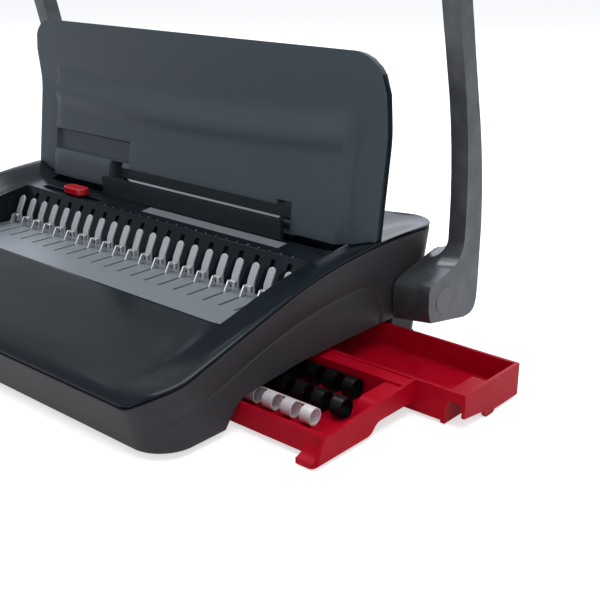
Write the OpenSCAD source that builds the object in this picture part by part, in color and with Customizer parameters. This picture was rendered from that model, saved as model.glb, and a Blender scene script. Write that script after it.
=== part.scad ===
// Comb binding machine for A4 sheets: punches 21 holes and opens plastic combs.
// X runs to the right, Y to the back and Z up; the origin is on the table under the body.

/* [Comb row] */
// Number of holes, tines and hooks
comb_n = 21; // [15:2:21]
// Distance from one hole to the next
pitch = 14.2875; // [14:0.0125:14.3]
// Width of the widest sheet
sheet_w = 297; // [290:1:300]
// Free play of the sheet on each side
sheet_play = 2; // [1:0.5:3]

/* [Body] */
// Width of the lower body
body_w = 360; // [352:1:380]
// Distance from the origin to the front face
front_reach = 130; // [124:1:140]
// Distance from the origin to the rear top edge
rear_reach = 133; // [128:1:145]
// How far the rear wall slopes in towards its foot
rear_slope = 25; // [10:1:25]
// How far the front wall leans in towards its foot
front_slope = 4; // [0:0.5:6]
// Height of the lower edge above the table
body_z = 4; // [3.5:0.5:6]
// Radius of the front corners in plan
front_corner = 28; // [20:1:36]
// Radius of the rear corners in plan
rear_corner = 11; // [8:1:16]
// Wall of the lower body
wall = 2.6; // [2:0.1:3.2]
// Height of the seam on the front face
seam_front_z = 28; // [24:1:32]
// Height of the seam at the rear
seam_rear_z = 79; // [78:0.5:84]
// Dark gap between the lower body and the top cover
seam_gap = 0.9; // [0.4:0.1:1.2]
// How proud the arched side panels stand
panel_proud = 0.8; // [0.4:0.1:1.2]

/* [Top cover] */
// Wall of the top cover
cover_t = 2.4; // [2:0.1:3]
// Front edge of the comb recess
recess_front = 52; // [46:1:58]
// Height of the cover at the front of the recess
recess_front_z = 52.5; // [51:0.5:54]
// Rear edge of the comb recess
recess_rear = 28; // [26:0.5:30]
// Height of the cover at the rear of the recess
recess_rear_z = 69.5; // [68:0.5:70.5]
// Front edge of the paper slot
slot_front = 50.6; // [50:0.2:51]
// Rear edge of the paper slot
slot_rear = 65; // [63:0.5:66]
// Height of the deck at the paper slot
deck_z = 71.8; // [71:0.2:72.4]

/* [Comb works] */
// Top of the slotted plate
plate_z = 44.5; // [43:0.5:46]
// Thickness of the slotted plate and of the tine strip
sheet_t = 1.5; // [1.2:0.1:2]
// How far the plates lie under the edges of the recess
plate_lap = 3.5; // [2.5:0.5:4.5]
// Width of one tine
tine_w = 6; // [5:0.25:7]
// Thickness of one tine
tine_t = 1.6; // [1.2:0.1:2]
// Height of the upright foot of a tine above the plate
tine_foot = 8.5; // [6:0.5:10]
// Height of the tine tips above the table
tine_top = 65; // [62:0.5:66]
// Backward lean of the tines in degrees
tine_lean = 27.5; // [20:0.5:30]
// Thickness of one opening hook
hook_t = 1.2; // [1:0.1:1.4]
// Clearance of the hook stems in their slots
hook_clear = 0.4; // [0.35:0.05:0.6]

/* [Punch works] */
// Height of the handle pivot
pivot_z = 43.1; // [42:0.5:45]
// Distance of the handle pivot behind the origin
pivot_y = 87.5; // [86:0.5:90]
// Swing of the handle in degrees
swing = 86; // [70:1:88]
// Diameter of the drive shaft
shaft_d = 12; // [10:0.5:13]
// Radial clearance of the shaft in its bushes
shaft_clear = 0.05; // [0.02:0.01:0.1]
// Wall of the bushes
bush_wall = 2; // [1.5:0.1:2.5]
// Thickness of the side frames
frame_t = 3; // [2.5:0.5:4]
// Width of the gap that the sheets drop into
throat = 2.6; // [2.4:0.1:3]
// Front face of the throat
throat_front = 51; // [50.8:0.1:51.4]
// Thickness of the die plate
die_t = 5; // [4:0.5:6]
// Thickness of the stripper plate
stripper_t = 4; // [3:0.5:5]
// Width of one punched hole
hole_w = 8; // [7:0.5:8]
// Height of one punched hole
hole_h = 3; // [2.5:0.25:3.5]
// Distance from the sheet edge to the middle of the holes
edge_margin = 4.8; // [4:0.2:5.5]
// Clearance of the punch pins in their plates
punch_clear = 0.3; // [0.3:0.05:0.5]
// Stroke of the punch pins
punch_stroke = 9; // [8:0.5:9]
// Base radius of the cams
cam_base = 11.1; // [10.5:0.1:11.5]
// Gap between each cam and the pressure bar
cam_gap = 0.4; // [0.35:0.05:0.6]
// Thickness of the pressure bar
bar_t = 6.8; // [6:0.2:7.5]
// Module of the hook pinions and racks
gear_m = 1.25; // [1.2:0.05:1.3]
// Teeth on each hook pinion
gear_n = 20; // [18:1:20]
// Half of the backlash of the pinions and racks
backlash = 0.2; // [0.2:0.05:0.3]

/* [Handle] */
// Gap between the body and the handle hubs
hub_gap = 2; // [1.5:0.5:4]
// Width of the handle hubs
hub_w = 31; // [26:1:36]
// Width of the handle arms
arm_w = 12.5; // [11:0.5:18]
// Height of the grip above the table
grip_z = 283; // [270:1:300]
// Diameter of the grip bar
grip_d = 18; // [14:1:20]
// Wall of the grip bar's tube
tube_t = 1.5; // [1:0.25:2.5]
// Wall of the soft grip sleeve
sleeve_t = 2.5; // [2:0.5:4]
// Diameter of the pivot caps
cap_d = 17.5; // [15:0.5:20]

/* [Lid] */
// Hinge axis of the lid behind the origin
hinge_y = 58.5; // [58:0.5:59.5]
// Hinge axis of the lid above the table
hinge_z = 79.5; // [79:0.5:81]
// Length of the lid from its hinge
lid_len = 118; // [105:1:125]
// Width of the lid
lid_w = 356; // [340:1:356]
// Thickness of the lid at its rim
lid_t = 8.2; // [7:0.2:9]
// Wall of the lid shell
lid_wall = 2.2; // [1.8:0.1:2.6]
// How far the inner panel stands out of the lid
panel_out = 6.5; // [5:0.5:7]
// Backward lean of the open lid in degrees
lid_lean = 7.9; // [5:0.1:10]
// Diameter of the lid hinge pins
hinge_d = 4; // [3:0.5:4]

/* [Sheet guides] */
// Left end of the paper fence
fence_left = -78; // [-85:1:-70]
// Right end of the paper fence
fence_right = 109; // [100:1:112]
// Height of the paper fence above the deck
fence_h = 14; // [10:1:15]
// Position of the edge guide knob
knob_x = -97; // [-110:1:-90]
// Travel of the edge guide to the right
knob_right = 26; // [10:1:28]
// Travel of the edge guide to the left
knob_left = 38; // [10:1:38]

/* [Tray] */
// How far the tray stands out of the body
tray_out = 63; // [0:1:63]
// How far the rear part of the tray reaches past the body when shut
tray_step = 34; // [28:1:34]
// Wall of the tray
tray_t = 2.2; // [1.8:0.1:2.6]
// Upper face of the tray floor
tray_floor = 7; // [6.5:0.5:8]
// Top of the tray at its rear wall
tray_top = 22.3; // [20:0.1:22.5]
// Top of the tray at its front wall
tray_low = 17.2; // [15:0.1:18]
// Front face of the tray
tray_front = -66.5; // [-68:0.5:-64]
// Face between the two compartments
tray_mid = 17; // [12:0.5:20]
// Rear face of the tray
tray_rear = 75; // [72:0.5:76]
// Gap between the tray and the bed that it slides on
tray_clear = 0.5; // [0.4:0.1:0.8]

/* [Hidden] */
$fn = 40;
case_col = "#3b3b3e";
cover_col = "#232a31";
lid_col = "#41484f";
steel_col = "#b4b8bd";
zinc_col = "#8d9196";
handle_col = "#57595c";
red_col = "#a01028";

body_x = body_w / 2;
row_x = (comb_n - 1) / 2 * pitch;
slot_x = sheet_w / 2 + sheet_play;
plate_x = max(slot_x + plate_lap, row_x + tine_w);
front_y = -front_reach;
front_foot = front_y + front_slope;
rear_foot = rear_reach - rear_slope;

// Frames, plates and the things between them, from the slot outwards
works_x = max(slot_x, row_x + hole_w / 2 + 3.6);
die_x = works_x + 6.5;
frame_x = die_x + 4;
gear_x = frame_x + frame_t + 2;
gear_w = 5;
die_front = throat_front - die_t;
strip_front = throat_front + throat;
strip_rear = strip_front + stripper_t;
stop_z = 42;
punch_z = stop_z + edge_margin;
plates_low = 38;
plates_top = 62;
bar_rear = pivot_y - cam_base - cam_gap;
bar_front = bar_rear - bar_t;
keeper_t = 1.2;
keeper_end = hole_w / 2 + 1.3;
pin_tip = strip_front + 1.4;
pin_stagger = 0.6;
spring_r = 3;
spring_wire = 0.8;
spring_x = works_x + 1.6;
spring_z = [punch_z - 3.8, punch_z + 4.2];
pocket_d = 5;
bolt_x = works_x + 3.7;

// Hook works
gear_r = gear_m * gear_n / 2;
rack_z = pivot_z + gear_r;
hook_travel = gear_r * swing * PI / 180;
stem_dx = -1.8;
hook_y = 4.2;
hook_top_y = 9.9;
hook_top_z = plate_z + 6.9;
tine_y = hook_top_y + 1.1;
strip_rear_y = tine_y + 19;
hookbar_top = plate_z - sheet_t - 2;
hookbar_h = 5;

// Handle outline: the arm bends forward up to bend_z and is straight above it
arm_x = body_x + hub_gap + hub_w;
hub_x = body_x + hub_gap;
bend_0 = 82;
bend_z = 170;
bend_k = 0.00133;
arm_deep_low = 19.6;
arm_deep_top = 14;
arm_back = pivot_y + 31.1;
function arm_mid(z) = z < bend_0 ? arm_back
    : z < bend_z ? arm_back - bend_k * pow(z - bend_0, 2)
    : arm_mid(bend_z - 0.001) - 2 * bend_k * (bend_z - bend_0) * (z - bend_z);
function arm_deep(z) = z > bend_z ? arm_deep_top
    : arm_deep_low + (arm_deep_top - arm_deep_low) * max(0, z - bend_0) / (bend_z - bend_0);
grip_y = arm_mid(grip_z);

// Tray, drawn where it stands when it is pulled out by tray_out
tray_x1 = body_x + tray_out;
tray_x2 = tray_x1 + tray_step;
tray_x0 = -slot_x + tray_out;
bed_z = 1.2;
bed_t = 1.2;
tray_low_z = bed_z + bed_t + tray_clear;
guide_front = tray_front - 9.5;
guide_rear = tray_rear + 5;
ridge_w = 12.5;

// Lid
cut_u = 14.4;
notch_u = 16.4;
skin_u = 2.5;
notch_w = 13.5;
bend_u = 62;
bend_v = 13;
rim_v = -1.5;
lid_x = lid_w / 2;
panel_x = slot_x;
knob_y = 35.5;
knob_w = 11;
knob_len = 24;
shank_w = 4;
shank_clear = 0.5;
stop_t = 1;
stop_w = 4;

function bez(a, b, c, d, n = 10) = [for (i = [0:n]) let (t = i / n, s = 1 - t)
    s * s * s * a + 3 * s * s * t * b + 3 * s * t * t * c + t * t * t * d];
function arc(x, y, r, a0, a1, n = 10) = [for (i = [0:n]) let (a = a0 + (a1 - a0) * i / n)
    [x + r * cos(a), y + r * sin(a)]];
function rev(p) = [for (i = [len(p) - 1:-1:0]) p[i]];
function shift(p, dy, dz) = [for (q = p) [q[0] + dy, q[1] + dz]];
function plan(inset) = let (x = body_x - inset, f = front_corner - inset, r = rear_corner - inset,
    half = concat(arc(x - f, front_y + inset + f, f, -90, 0),
        arc(x - r, rear_reach - inset - r, r, 0, 90)))
    concat(half, [for (q = rev(half)) [-q[0], q[1]]]);

// Seam between the lower body and the cover, and the cover's line along its middle
seam = concat(
    bez([front_y, seam_front_z], [front_y + 3, seam_front_z + 8], [front_y + 12, seam_front_z + 10.8],
        [front_y + 22, seam_front_z + 13.5], 6),
    bez([-20, seam_rear_z - 12], [8, seam_rear_z - 4.5], [40, seam_rear_z], [91, seam_rear_z], 8),
    [[rear_reach, seam_rear_z - 1]]);
crown = concat(
    bez([front_y, seam_front_z + seam_gap], [front_y + 2.5, seam_front_z + 6],
        [front_y + 9, seam_front_z + 7], [front_y + 18, seam_front_z + 9.2], 6),
    bez([-recess_front, recess_front_z], [-30, recess_front_z + 6], [0, recess_rear_z - 4],
        [recess_rear, recess_rear_z], 8),
    [[54, deck_z], [slot_rear, deck_z + 0.8], [100, seam_rear_z - 3.5], [rear_reach, seam_rear_z - 1.2]]);
under_crown = concat(crown, [[rear_reach, 0], [front_y, 0]]);

module along_x(x0, x1) translate([x0, 0, 0]) rotate([90, 0, 90]) linear_extrude(x1 - x0) children();
module along_y(y0, y1) translate([0, y1, 0]) rotate([90, 0, 0]) linear_extrude(y1 - y0) children();
module box(a, b) translate(a) cube(b - a);
module rod_x(x0, x1, y, z, r) translate([x0, y, z]) rotate([0, 90, 0]) cylinder(r = r, h = x1 - x0);
module rod_y(y0, y1, x, z, r) translate([x, y0, z]) rotate([-90, 0, 0]) cylinder(r = r, h = y1 - y0);
module at_rows() for (i = [0:comb_n - 1]) translate([i * pitch - row_x, 0, 0]) children();
module both() { children(); mirror([1, 0, 0]) children(); }

// Casings ---------------------------------------------------------------

post_r = 4;
pilot_r = 1.4;
post_x = slot_x - 0.5;
post_front = front_y + 25;
post_rear = rear_foot - 7;
pan_z = body_z + 0.5;
pan_t = 2.5;
pan_clear = 0.4;
well_x = -slot_x - 8;

module inner_profile(inset, z0 = -1) polygon([[front_foot + inset, z0], [front_y + inset, seam_front_z],
    [front_y + inset, 110], [rear_reach - inset, 110], [rear_reach - inset, seam_rear_z - 1],
    [rear_foot - inset, z0]]);

module base_pan() color(case_col) difference() {
    union() {
        intersection() {
            translate([0, 0, pan_z]) linear_extrude(pan_t) polygon(plan(wall + pan_clear));
            along_x(-body_x, body_x) inner_profile(wall + pan_clear);
        }
        for (y = [guide_front - tray_t, guide_rear])
            box([well_x, y, pan_z], [body_x - wall - 1, y + tray_t, pan_z + 9]);
        both() for (p = [[post_front, post_top(post_front)], [post_rear, post_top(post_rear)]])
            translate([post_x, p[0], pan_z]) cylinder(r = post_r, h = p[1] - pan_z);
    }
    box([well_x, guide_front, pan_z - 1], [body_x + 1, guide_rear, pan_z + pan_t + 1]);
    both() for (y = [post_front, post_rear])
        translate([post_x, y, pan_z - 1]) cylinder(r = pilot_r, h = 100);
}
// Height of the cover's underside over a post
function crown_at(y) = lookup(y, crown);
function post_top(y) = crown_at(y - post_r) - cover_t - 0.6;

module tray_bed() color(zinc_col) {
    x1 = body_x - 15;
    y0 = guide_front + 0.5;
    y1 = guide_rear - 0.5;
    along_x(well_x, x1) polygon([[y0 - 7, pan_z - bed_t], [y0 - bed_t, pan_z - bed_t], [y0 - bed_t, bed_z],
        [y1 + bed_t, bed_z], [y1 + bed_t, pan_z - bed_t], [y1 + 6, pan_z - bed_t], [y1 + 6, pan_z],
        [y1, pan_z], [y1, bed_z + bed_t], [y0, bed_z + bed_t], [y0, pan_z], [y0 - 7, pan_z]]);
}

foot_r = 8;
foot_x = 128;
module rubber_feet() color("#1a1a1a") {
    both() for (y = [post_front, post_rear - 6]) translate([foot_x, y, 0]) cylinder(r = foot_r, h = pan_z);
    // Pad under the middle of the tray bed
    cylinder(r = foot_r, h = bed_z);
}

// Tray opening in the right wall; its front edge leans like the tray's end
mouth = concat([[guide_front - 2.5, -1], [guide_front - 2.5, body_z]],
    bez([guide_front - 2.5, body_z], [guide_front + 1.4, body_z + 5], [tray_front - 3.5, tray_low + 2.2],
        [tray_front + 6.5, tray_low + 3], 6),
    [[-15, tray_top + 2.4], [guide_rear - 2, tray_top + 2.9], [guide_rear - 2, -1]]);

// Arched edge of the proud lower panel on each side
arch = concat([[-108, 23]], bez([-92, 26.4], [-50, 37], [-30, 52], [29, 53.8], 8),
    bez([42, 54], [68, 54], [68, 44], [74.5, 26], 6));
function panel_arch() = concat([[-108, body_z + 1]], arch, [[76, body_z + 1]]);
shaft_hole = shaft_d / 2 + 3;

module lower_body() color(case_col) difference() {
    union() {
        difference() {
            intersection() {
                linear_extrude(100) polygon(plan(0));
                along_x(-body_x, body_x)
                    polygon(concat([[front_foot, body_z]], seam, [[rear_foot, body_z]]));
            }
            intersection() {
                translate([0, 0, -1]) linear_extrude(110) polygon(plan(wall));
                along_x(-body_x, body_x) inner_profile(wall);
            }
        }
        both() along_x(body_x - wall / 2, body_x + panel_proud)
            polygon([for (q = panel_arch()) [max(q[0], front_y + front_corner), q[1]]]);
    }
    along_x(body_x - 20, body_x + 2) polygon(mouth);
    both() rod_x(body_x - 20, body_x + 2, pivot_y, pivot_z, shaft_hole);
}

dish_x = slot_x + 5;
rim_clear = 0.4;
back_notch = [4, 16, 13];
rail_t = 1.4;
lip_t = 1.8;
lip_h = 5;
skirt_t = 2;
lip_gap = 2.8;

// Where the wall of the lower body stands, up to the gap under the cover
module under_seam() intersection() {
    difference() {
        translate([0, 0, -1]) linear_extrude(120) polygon(plan(-1));
        intersection() {
            translate([0, 0, -2]) linear_extrude(122) polygon(plan(wall + rim_clear));
            along_x(-body_x, body_x) inner_profile(wall + rim_clear, -2);
        }
    }
    along_x(-body_x - 2, body_x + 2) polygon(concat(
        [[front_y - 2, 0], [front_y - 2, seam_front_z + seam_gap]],
        shift(seam, 0, seam_gap),
        [[rear_reach + 2, seam_rear_z - 1 + seam_gap], [rear_reach + 2, 0]]));
}

module top_cover() color(cover_col) {
    low = shift(crown, 1.2, -cover_t);
    rail = shift(seam, 0, seam_gap + rail_t);
    difference() {
        intersection() {
            union() {
                along_x(-dish_x, dish_x) polygon(concat(crown, rev(low)));
                both() along_x(dish_x - cover_t, body_x)
                    polygon(concat(rail, rev(shift(seam, 0, seam_gap))));
                both() along_x(dish_x - cover_t, dish_x) polygon(concat(rail, rev(low)));
            }
            linear_extrude(120) polygon(plan(0));
        }
        under_seam();
        box([-slot_x, -recess_front, 0], [slot_x, recess_rear, 100]);
        box([-slot_x, slot_front, 0], [slot_x, slot_rear, 100]);
        box([knob_x - knob_left - shank_w / 2 - shank_clear, knob_y - shank_w / 2 - shank_clear, 0],
            [knob_x + knob_right + shank_w / 2 + shank_clear, knob_y + shank_w / 2 + shank_clear, 100]);
    }
    // Skirts round the recess
    intersection() {
        difference() {
            box([-slot_x - skirt_t, -recess_front - skirt_t, plate_z],
                [slot_x + skirt_t, recess_rear, 100]);
            box([-slot_x, -recess_front, 0], [slot_x, recess_rear + 1, 101]);
        }
        along_x(-body_x, body_x) polygon(shift(under_crown, 0, -0.8));
    }
    // Front and rear lips of the paper slot
    intersection() {
        box([-slot_x, slot_front - skirt_t, plates_top + lip_gap], [slot_x, slot_front, 100]);
        along_x(-body_x, body_x) polygon(shift(under_crown, 0, -0.8));
    }
    along_x(-slot_x, slot_x) polygon([[slot_rear, deck_z + 0.4], [slot_rear - 7, plates_top + 1.4],
        [slot_rear - 5, plates_top + 1.4], [slot_rear + 2, deck_z - 0.8]]);
    // Locating lip inside the lower body
    intersection() {
        difference() {
            linear_extrude(120) polygon(plan(wall + rim_clear));
            translate([0, 0, -1]) linear_extrude(122) polygon(plan(wall + rim_clear + lip_t));
        }
        along_x(-body_x, body_x)
            polygon(concat(shift(seam, 0, seam_gap + 0.6), rev(shift(seam, 0, -lip_h))));
        box([-body_x, front_y + front_corner + 5, 0], [body_x, rear_reach - 6, 120]);
    }
}

// Sloping rear wall of the recess, notched between the tines
module recess_back() color(cover_col) difference() {
    y0 = tine_y + tine_t + 1.2;
    y1 = recess_rear - 0.1;
    along_x(-slot_x, slot_x) polygon([[y0, plate_z + 0.2], [y1, recess_rear_z - 0.8],
        [y1, recess_rear_z - 5.8], [y0 + skirt_t, plate_z + 0.2]]);
    for (i = [0:comb_n - 2])
        translate([(i + 0.5) * pitch - row_x, recess_rear - 3, plate_z + 15])
            cube(back_notch, center = true);
}

// Comb works ------------------------------------------------------------

module guide_plate() color("#777b80") difference() {
    box([-plate_x, -recess_front - plate_lap, plate_z - sheet_t], [plate_x, tine_y - 0.2, plate_z]);
    at_rows() box([stem_dx - hook_t / 2 - hook_clear, hook_y - hook_travel - 1.5, 0],
        [stem_dx + hook_t / 2 + hook_clear, hook_y + 4.6, 100]);
}

// One tine: an upright foot on the plate, a lean to the rear above it and a round tip
module tine() {
    knee = plate_z + tine_foot;
    run = (tine_top - knee) / cos(tine_lean);
    up = [sin(tine_lean), cos(tine_lean)];
    side = tine_t * [up[1], -up[0]];
    intersection() {
        along_x(-tine_w / 2, tine_w / 2) polygon([[tine_y, plate_z], [tine_y, knee],
            [tine_y, knee] + run * up, [tine_y, knee] + run * up + side,
            [tine_y + tine_t, knee - tine_t * tan(tine_lean / 2)], [tine_y + tine_t, plate_z]]);
        translate([0, tine_y, knee]) rotate([-tine_lean, 0, 0]) {
            box([-tine_w / 2, -tine_w, -2 * tine_foot], [tine_w / 2, tine_w, run - tine_w / 2]);
            translate([0, tine_w, run - tine_w / 2]) rotate([90, 0, 0])
                cylinder(d = tine_w, h = 2 * tine_w);
        }
    }
}

module comb_plate() color(steel_col)
    box([-plate_x, tine_y, plate_z - sheet_t], [plate_x, strip_rear_y, plate_z]);

module comb_tines() color(steel_col) at_rows() tine();

bracket_in = 10.5;
bracket_lap = 8;
bracket_drop = 6.5;
rail_drop = 16;

// Bent sheet brackets; each outline runs along the outer side and back one sheet inside it
module front_bracket() color(zinc_col) {
    y0 = guide_front - 4;
    y1 = -recess_front - 2;
    z1 = plate_z - bracket_drop;
    z2 = plate_z - sheet_t;
    along_x(-slot_x + bracket_in, slot_x - bracket_in) polygon([[y0, pan_z + pan_t], [y0, z1], [y1, z1],
        [y1, z2], [y1 + bracket_lap, z2], [y1 + bracket_lap, z2 - sheet_t], [y1 + sheet_t, z2 - sheet_t],
        [y1 + sheet_t, z1 - sheet_t], [y0 + sheet_t, z1 - sheet_t], [y0 + sheet_t, pan_z + pan_t]]);
}

module cross_rail() color(zinc_col) {
    y0 = tine_y + 2;
    y1 = strip_rear_y;
    z1 = plate_z - sheet_t;
    along_x(-frame_x, frame_x) polygon([[y0, z1], [y1, z1], [y1, z1 - rail_drop],
        [y1 - sheet_t, z1 - rail_drop], [y1 - sheet_t, z1 - sheet_t], [y0, z1 - sheet_t]]);
}

hook_x = gear_x + gear_w / 2;
module hook_bar() color(zinc_col) {
    box([-hook_x, hook_y - 4, hookbar_top - hookbar_h], [hook_x, hook_y + 4, hookbar_top]);
    both() box([gear_x, hook_y - 4, hookbar_top], [gear_x + gear_w, hook_y + 4, rack_z + 2 + gear_m]);
}

module comb_hooks() color("#c9ccd0") at_rows() {
    foot = hookbar_top;
    translate([stem_dx - hook_t / 2, 0, 0]) along_x(0, hook_t) polygon([[hook_y - 1.3, foot],
        [hook_y + 3.4, foot], [hook_y + 3.4, plate_z - 1], [hook_y + 3.2, plate_z + 1],
        [hook_top_y, hook_top_z], [hook_top_y - 3, hook_top_z], [hook_y - 1.3, plate_z + 0.5]]);
    box([stem_dx - hook_t / 2, hook_top_y - 3, hook_top_z - 1.6], [4, hook_top_y, hook_top_z]);
    box([4 - hook_t, hook_top_y - 3, hook_top_z - 4.6], [4, hook_top_y - 0.6, hook_top_z - 1.6]);
}

// Rod with rack teeth on its lower side, over the pinion
module rack_rod() {
    p = PI * gear_m;
    tip = p / 4 - backlash - gear_m * 0.9 * tan(20);
    root = p / 4 - backlash + gear_m * 1.25 * tan(20);
    z0 = rack_z + gear_m * 1.25;
    last = ceil(hook_travel / p) + 2;
    translate([gear_x, 0, 0]) {
        box([0, hook_y + 4, z0], [gear_w, pivot_y + (last + 1) * p, z0 + 4]);
        for (j = [-2:last]) translate([0, pivot_y + j * p, 0]) along_x(0, gear_w)
            polygon([[-root, z0], [-tip, rack_z - gear_m * 0.9], [tip, rack_z - gear_m * 0.9], [root, z0]]);
    }
}
module rack_rod_right() color(steel_col) rack_rod();
module rack_rod_left() color(steel_col) mirror([1, 0, 0]) rack_rod();

rod_clear = 0.4;
module rod_guides() color("#e4e4dc") both() difference() {
    z0 = rack_z + gear_m * 1.25;
    box([frame_x + frame_t, 30, z0 - 3], [gear_x + gear_w + 2.5, 42, z0 + 6.5]);
    box([gear_x - rod_clear, 29, z0 - rod_clear], [gear_x + gear_w + rod_clear, 43, z0 + 4 + rod_clear]);
}

// Punch works -----------------------------------------------------------

module punch_slots(y0, y1) at_rows()
    box([-hole_w / 2 - punch_clear, y0 - 1, punch_z - hole_h / 2 - punch_clear],
        [hole_w / 2 + punch_clear, y1 + 1, punch_z + hole_h / 2 + punch_clear]);
module bolt_holes(r) both() for (z = [plates_low + 3, plates_top - 3]) rod_y(30, 80, bolt_x, z, r);
bolt_r = 1.5;
bolt_head_r = 2.7;
bolt_head = 2.6;

module die_plate() color(steel_col) difference() {
    box([-die_x, die_front, plates_low], [die_x, throat_front, plates_top]);
    punch_slots(die_front, throat_front);
    bolt_holes(bolt_r);
}
module stripper_plate() color(steel_col) difference() {
    box([-die_x, strip_front, plates_low], [die_x, strip_rear, plates_top]);
    punch_slots(strip_front, strip_rear);
    bolt_holes(bolt_r);
}
module die_spacers() color(zinc_col) difference() {
    both() box([works_x, throat_front, plates_low], [die_x, strip_front, plates_top]);
    bolt_holes(bolt_r);
}
module paper_stop() color(zinc_col)
    box([-slot_x, throat_front, stop_z - 4], [slot_x, strip_front, stop_z]);
module die_bolts() color("#2c2d30") both() for (z = [plates_low + 3, plates_top - 3]) {
    rod_y(die_front, strip_rear, bolt_x, z, bolt_r);
    difference() {
        rod_y(die_front - bolt_head, die_front, bolt_x, z, bolt_head_r);
        translate([bolt_x, die_front - 1.6, z]) rotate([90, 0, 0]) cylinder(r = 1.4, h = 2, $fn = 6);
    }
}
module die_mounts() color(zinc_col) both()
    box([die_x, die_front - 4, plates_low], [frame_x, strip_rear + 4, plates_top]);

frame_low = 27;
frame_top = 68;
frame_foot = guide_rear + tray_t + 1;
frame_rear = pivot_y + 16.5;
module side_frame() difference() {
    union() {
        along_x(frame_x, frame_x + frame_t) polygon([[strip_rear_y - 6, frame_low],
            [frame_foot - 3, frame_low], [frame_foot, pan_z + pan_t], [frame_rear, pan_z + pan_t],
            [frame_rear + 2, frame_top - 8], [pivot_y + 4.5, frame_top], [strip_rear + 1.4, frame_top],
            [strip_rear_y - 6, frame_top - 8]]);
        box([frame_x + frame_t, frame_foot + 1, pan_z + pan_t],
            [frame_x + frame_t + 9, frame_rear - 1, pan_z + pan_t + 2]);
    }
    rod_x(frame_x - 1, frame_x + frame_t + 1, pivot_y, pivot_z, shaft_d / 2 + shaft_clear + bush_wall);
    translate([frame_x + frame_t + 5, frame_rear - 6, pan_z]) cylinder(r = 1.7, h = 10);
}
module side_frame_right() color(zinc_col) side_frame();
module side_frame_left() color(zinc_col) mirror([1, 0, 0]) side_frame();

module shaft_bush() difference() {
    union() {
        rod_x(frame_x, frame_x + frame_t, pivot_y, pivot_z, shaft_d / 2 + shaft_clear + bush_wall);
        rod_x(frame_x - 1.6, frame_x, pivot_y, pivot_z, shaft_d / 2 + shaft_clear + bush_wall + 2);
    }
    rod_x(frame_x - 3, frame_x + frame_t + 1, pivot_y, pivot_z, shaft_d / 2 + shaft_clear);
}
module shaft_bush_right() color("#b08a4a") shaft_bush();
module shaft_bush_left() color("#b08a4a") mirror([1, 0, 0]) shaft_bush();

module frame_screws() color("#2c2d30") both()
    translate([frame_x + frame_t + 5, frame_rear - 6, pan_z + pan_t])
    difference() {
        union() {
            cylinder(r = 1.7, h = 2);
            translate([0, 0, 2]) cylinder(r = 3.2, h = 2.2);
        }
        translate([0, 0, 3]) cylinder(r = 1.5, h = 2, $fn = 6);
    }

module case_screws() color("#2c2d30") both() for (y = [post_front, post_rear])
    translate([post_x, y, body_z - 1.5]) difference() {
        union() {
            cylinder(r = 3, h = pan_z - body_z + 1.5);
            cylinder(r = pilot_r, h = 14);
        }
        translate([0, 0, -1]) cylinder(r = 1.5, h = 2, $fn = 6);
    }

module pressure_bar() color("#6a6e73") difference() {
    box([-die_x, bar_front, punch_z - 6.8], [die_x, bar_rear, punch_z + 8.2]);
    both() for (z = spring_z) rod_y(bar_front - 1, bar_front + pocket_d, spring_x, z, spring_r + 0.5);
}
module pin_keeper() color("#6a6e73") difference() {
    box([-row_x - keeper_end, bar_front - keeper_t, punch_z - 5.3],
        [row_x + keeper_end, bar_front, punch_z + 5.2]);
    at_rows() box([-hole_w / 2, bar_front - keeper_t - 1, punch_z - hole_h / 2],
        [hole_w / 2, bar_front + 1, punch_z + hole_h / 2]);
}
module punch_pins() color("#d0d3d6") for (i = [0:comb_n - 1]) translate([i * pitch - row_x, 0, 0])
    box([-hole_w / 2, pin_tip + (i % 3) * pin_stagger, punch_z - hole_h / 2],
        [hole_w / 2, bar_front, punch_z + hole_h / 2]);

// Compression spring as a swept tube along Y
module coil(length, r, wire, turns, sides = 6, steps = 10) {
    n = turns * steps;
    pts = [for (i = [0:n]) let (a = i * 360 / steps, y = wire / 2 + (length - wire) * i / n)
        for (j = [0:sides - 1]) let (b = j * 360 / sides, q = r + wire / 2 * cos(b))
            [q * cos(a), y + wire / 2 * sin(b), q * sin(a)]];
    side = [for (i = [0:n - 1]) for (j = [0:sides - 1]) let (k = (j + 1) % sides)
        [i * sides + j, i * sides + k, (i + 1) * sides + k, (i + 1) * sides + j]];
    polyhedron(pts, concat(side, [[for (j = [sides - 1:-1:0]) j], [for (j = [0:sides - 1]) n * sides + j]]),
        convexity = 10);
}
module return_springs() color("#c0c3c6") both() for (z = spring_z)
    translate([spring_x, strip_rear, z]) coil(bar_front + pocket_d - strip_rear, spring_r, spring_wire, 7);

// Handle and shaft ------------------------------------------------------

module drive_shaft() color(steel_col) rod_x(-arm_x + 5, arm_x - 5, pivot_y, pivot_z, shaft_d / 2);

// Cam whose flat follower moves evenly with the swing
cam_rise = punch_stroke / swing * 180 / PI;
cam_x = 120;
cam_w = 12;
module cam() difference() {
    lift = [for (a = [0:4.3:swing]) let (h = cam_base + punch_stroke * a / swing)
        [pivot_y - h * cos(a) + cam_rise * sin(a), pivot_z + h * sin(a) + cam_rise * cos(a)]];
    top = cam_base + punch_stroke;
    tip = swing + atan(cam_rise / top) + 2;
    nose = [for (a = [tip:4:tip + 16]) [pivot_y - top * cos(a), pivot_z + top * sin(a)]];
    base = [for (a = [swing + 74:8:360]) [pivot_y - cam_base * cos(a), pivot_z + cam_base * sin(a)]];
    along_x(cam_x - cam_w / 2, cam_x + cam_w / 2) polygon(concat(lift, nose, base));
    rod_x(cam_x - cam_w, cam_x + cam_w, pivot_y, pivot_z, shaft_d / 2);
}
module cam_right() color("#5d6166") cam();
module cam_left() color("#5d6166") mirror([1, 0, 0]) cam();

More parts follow.
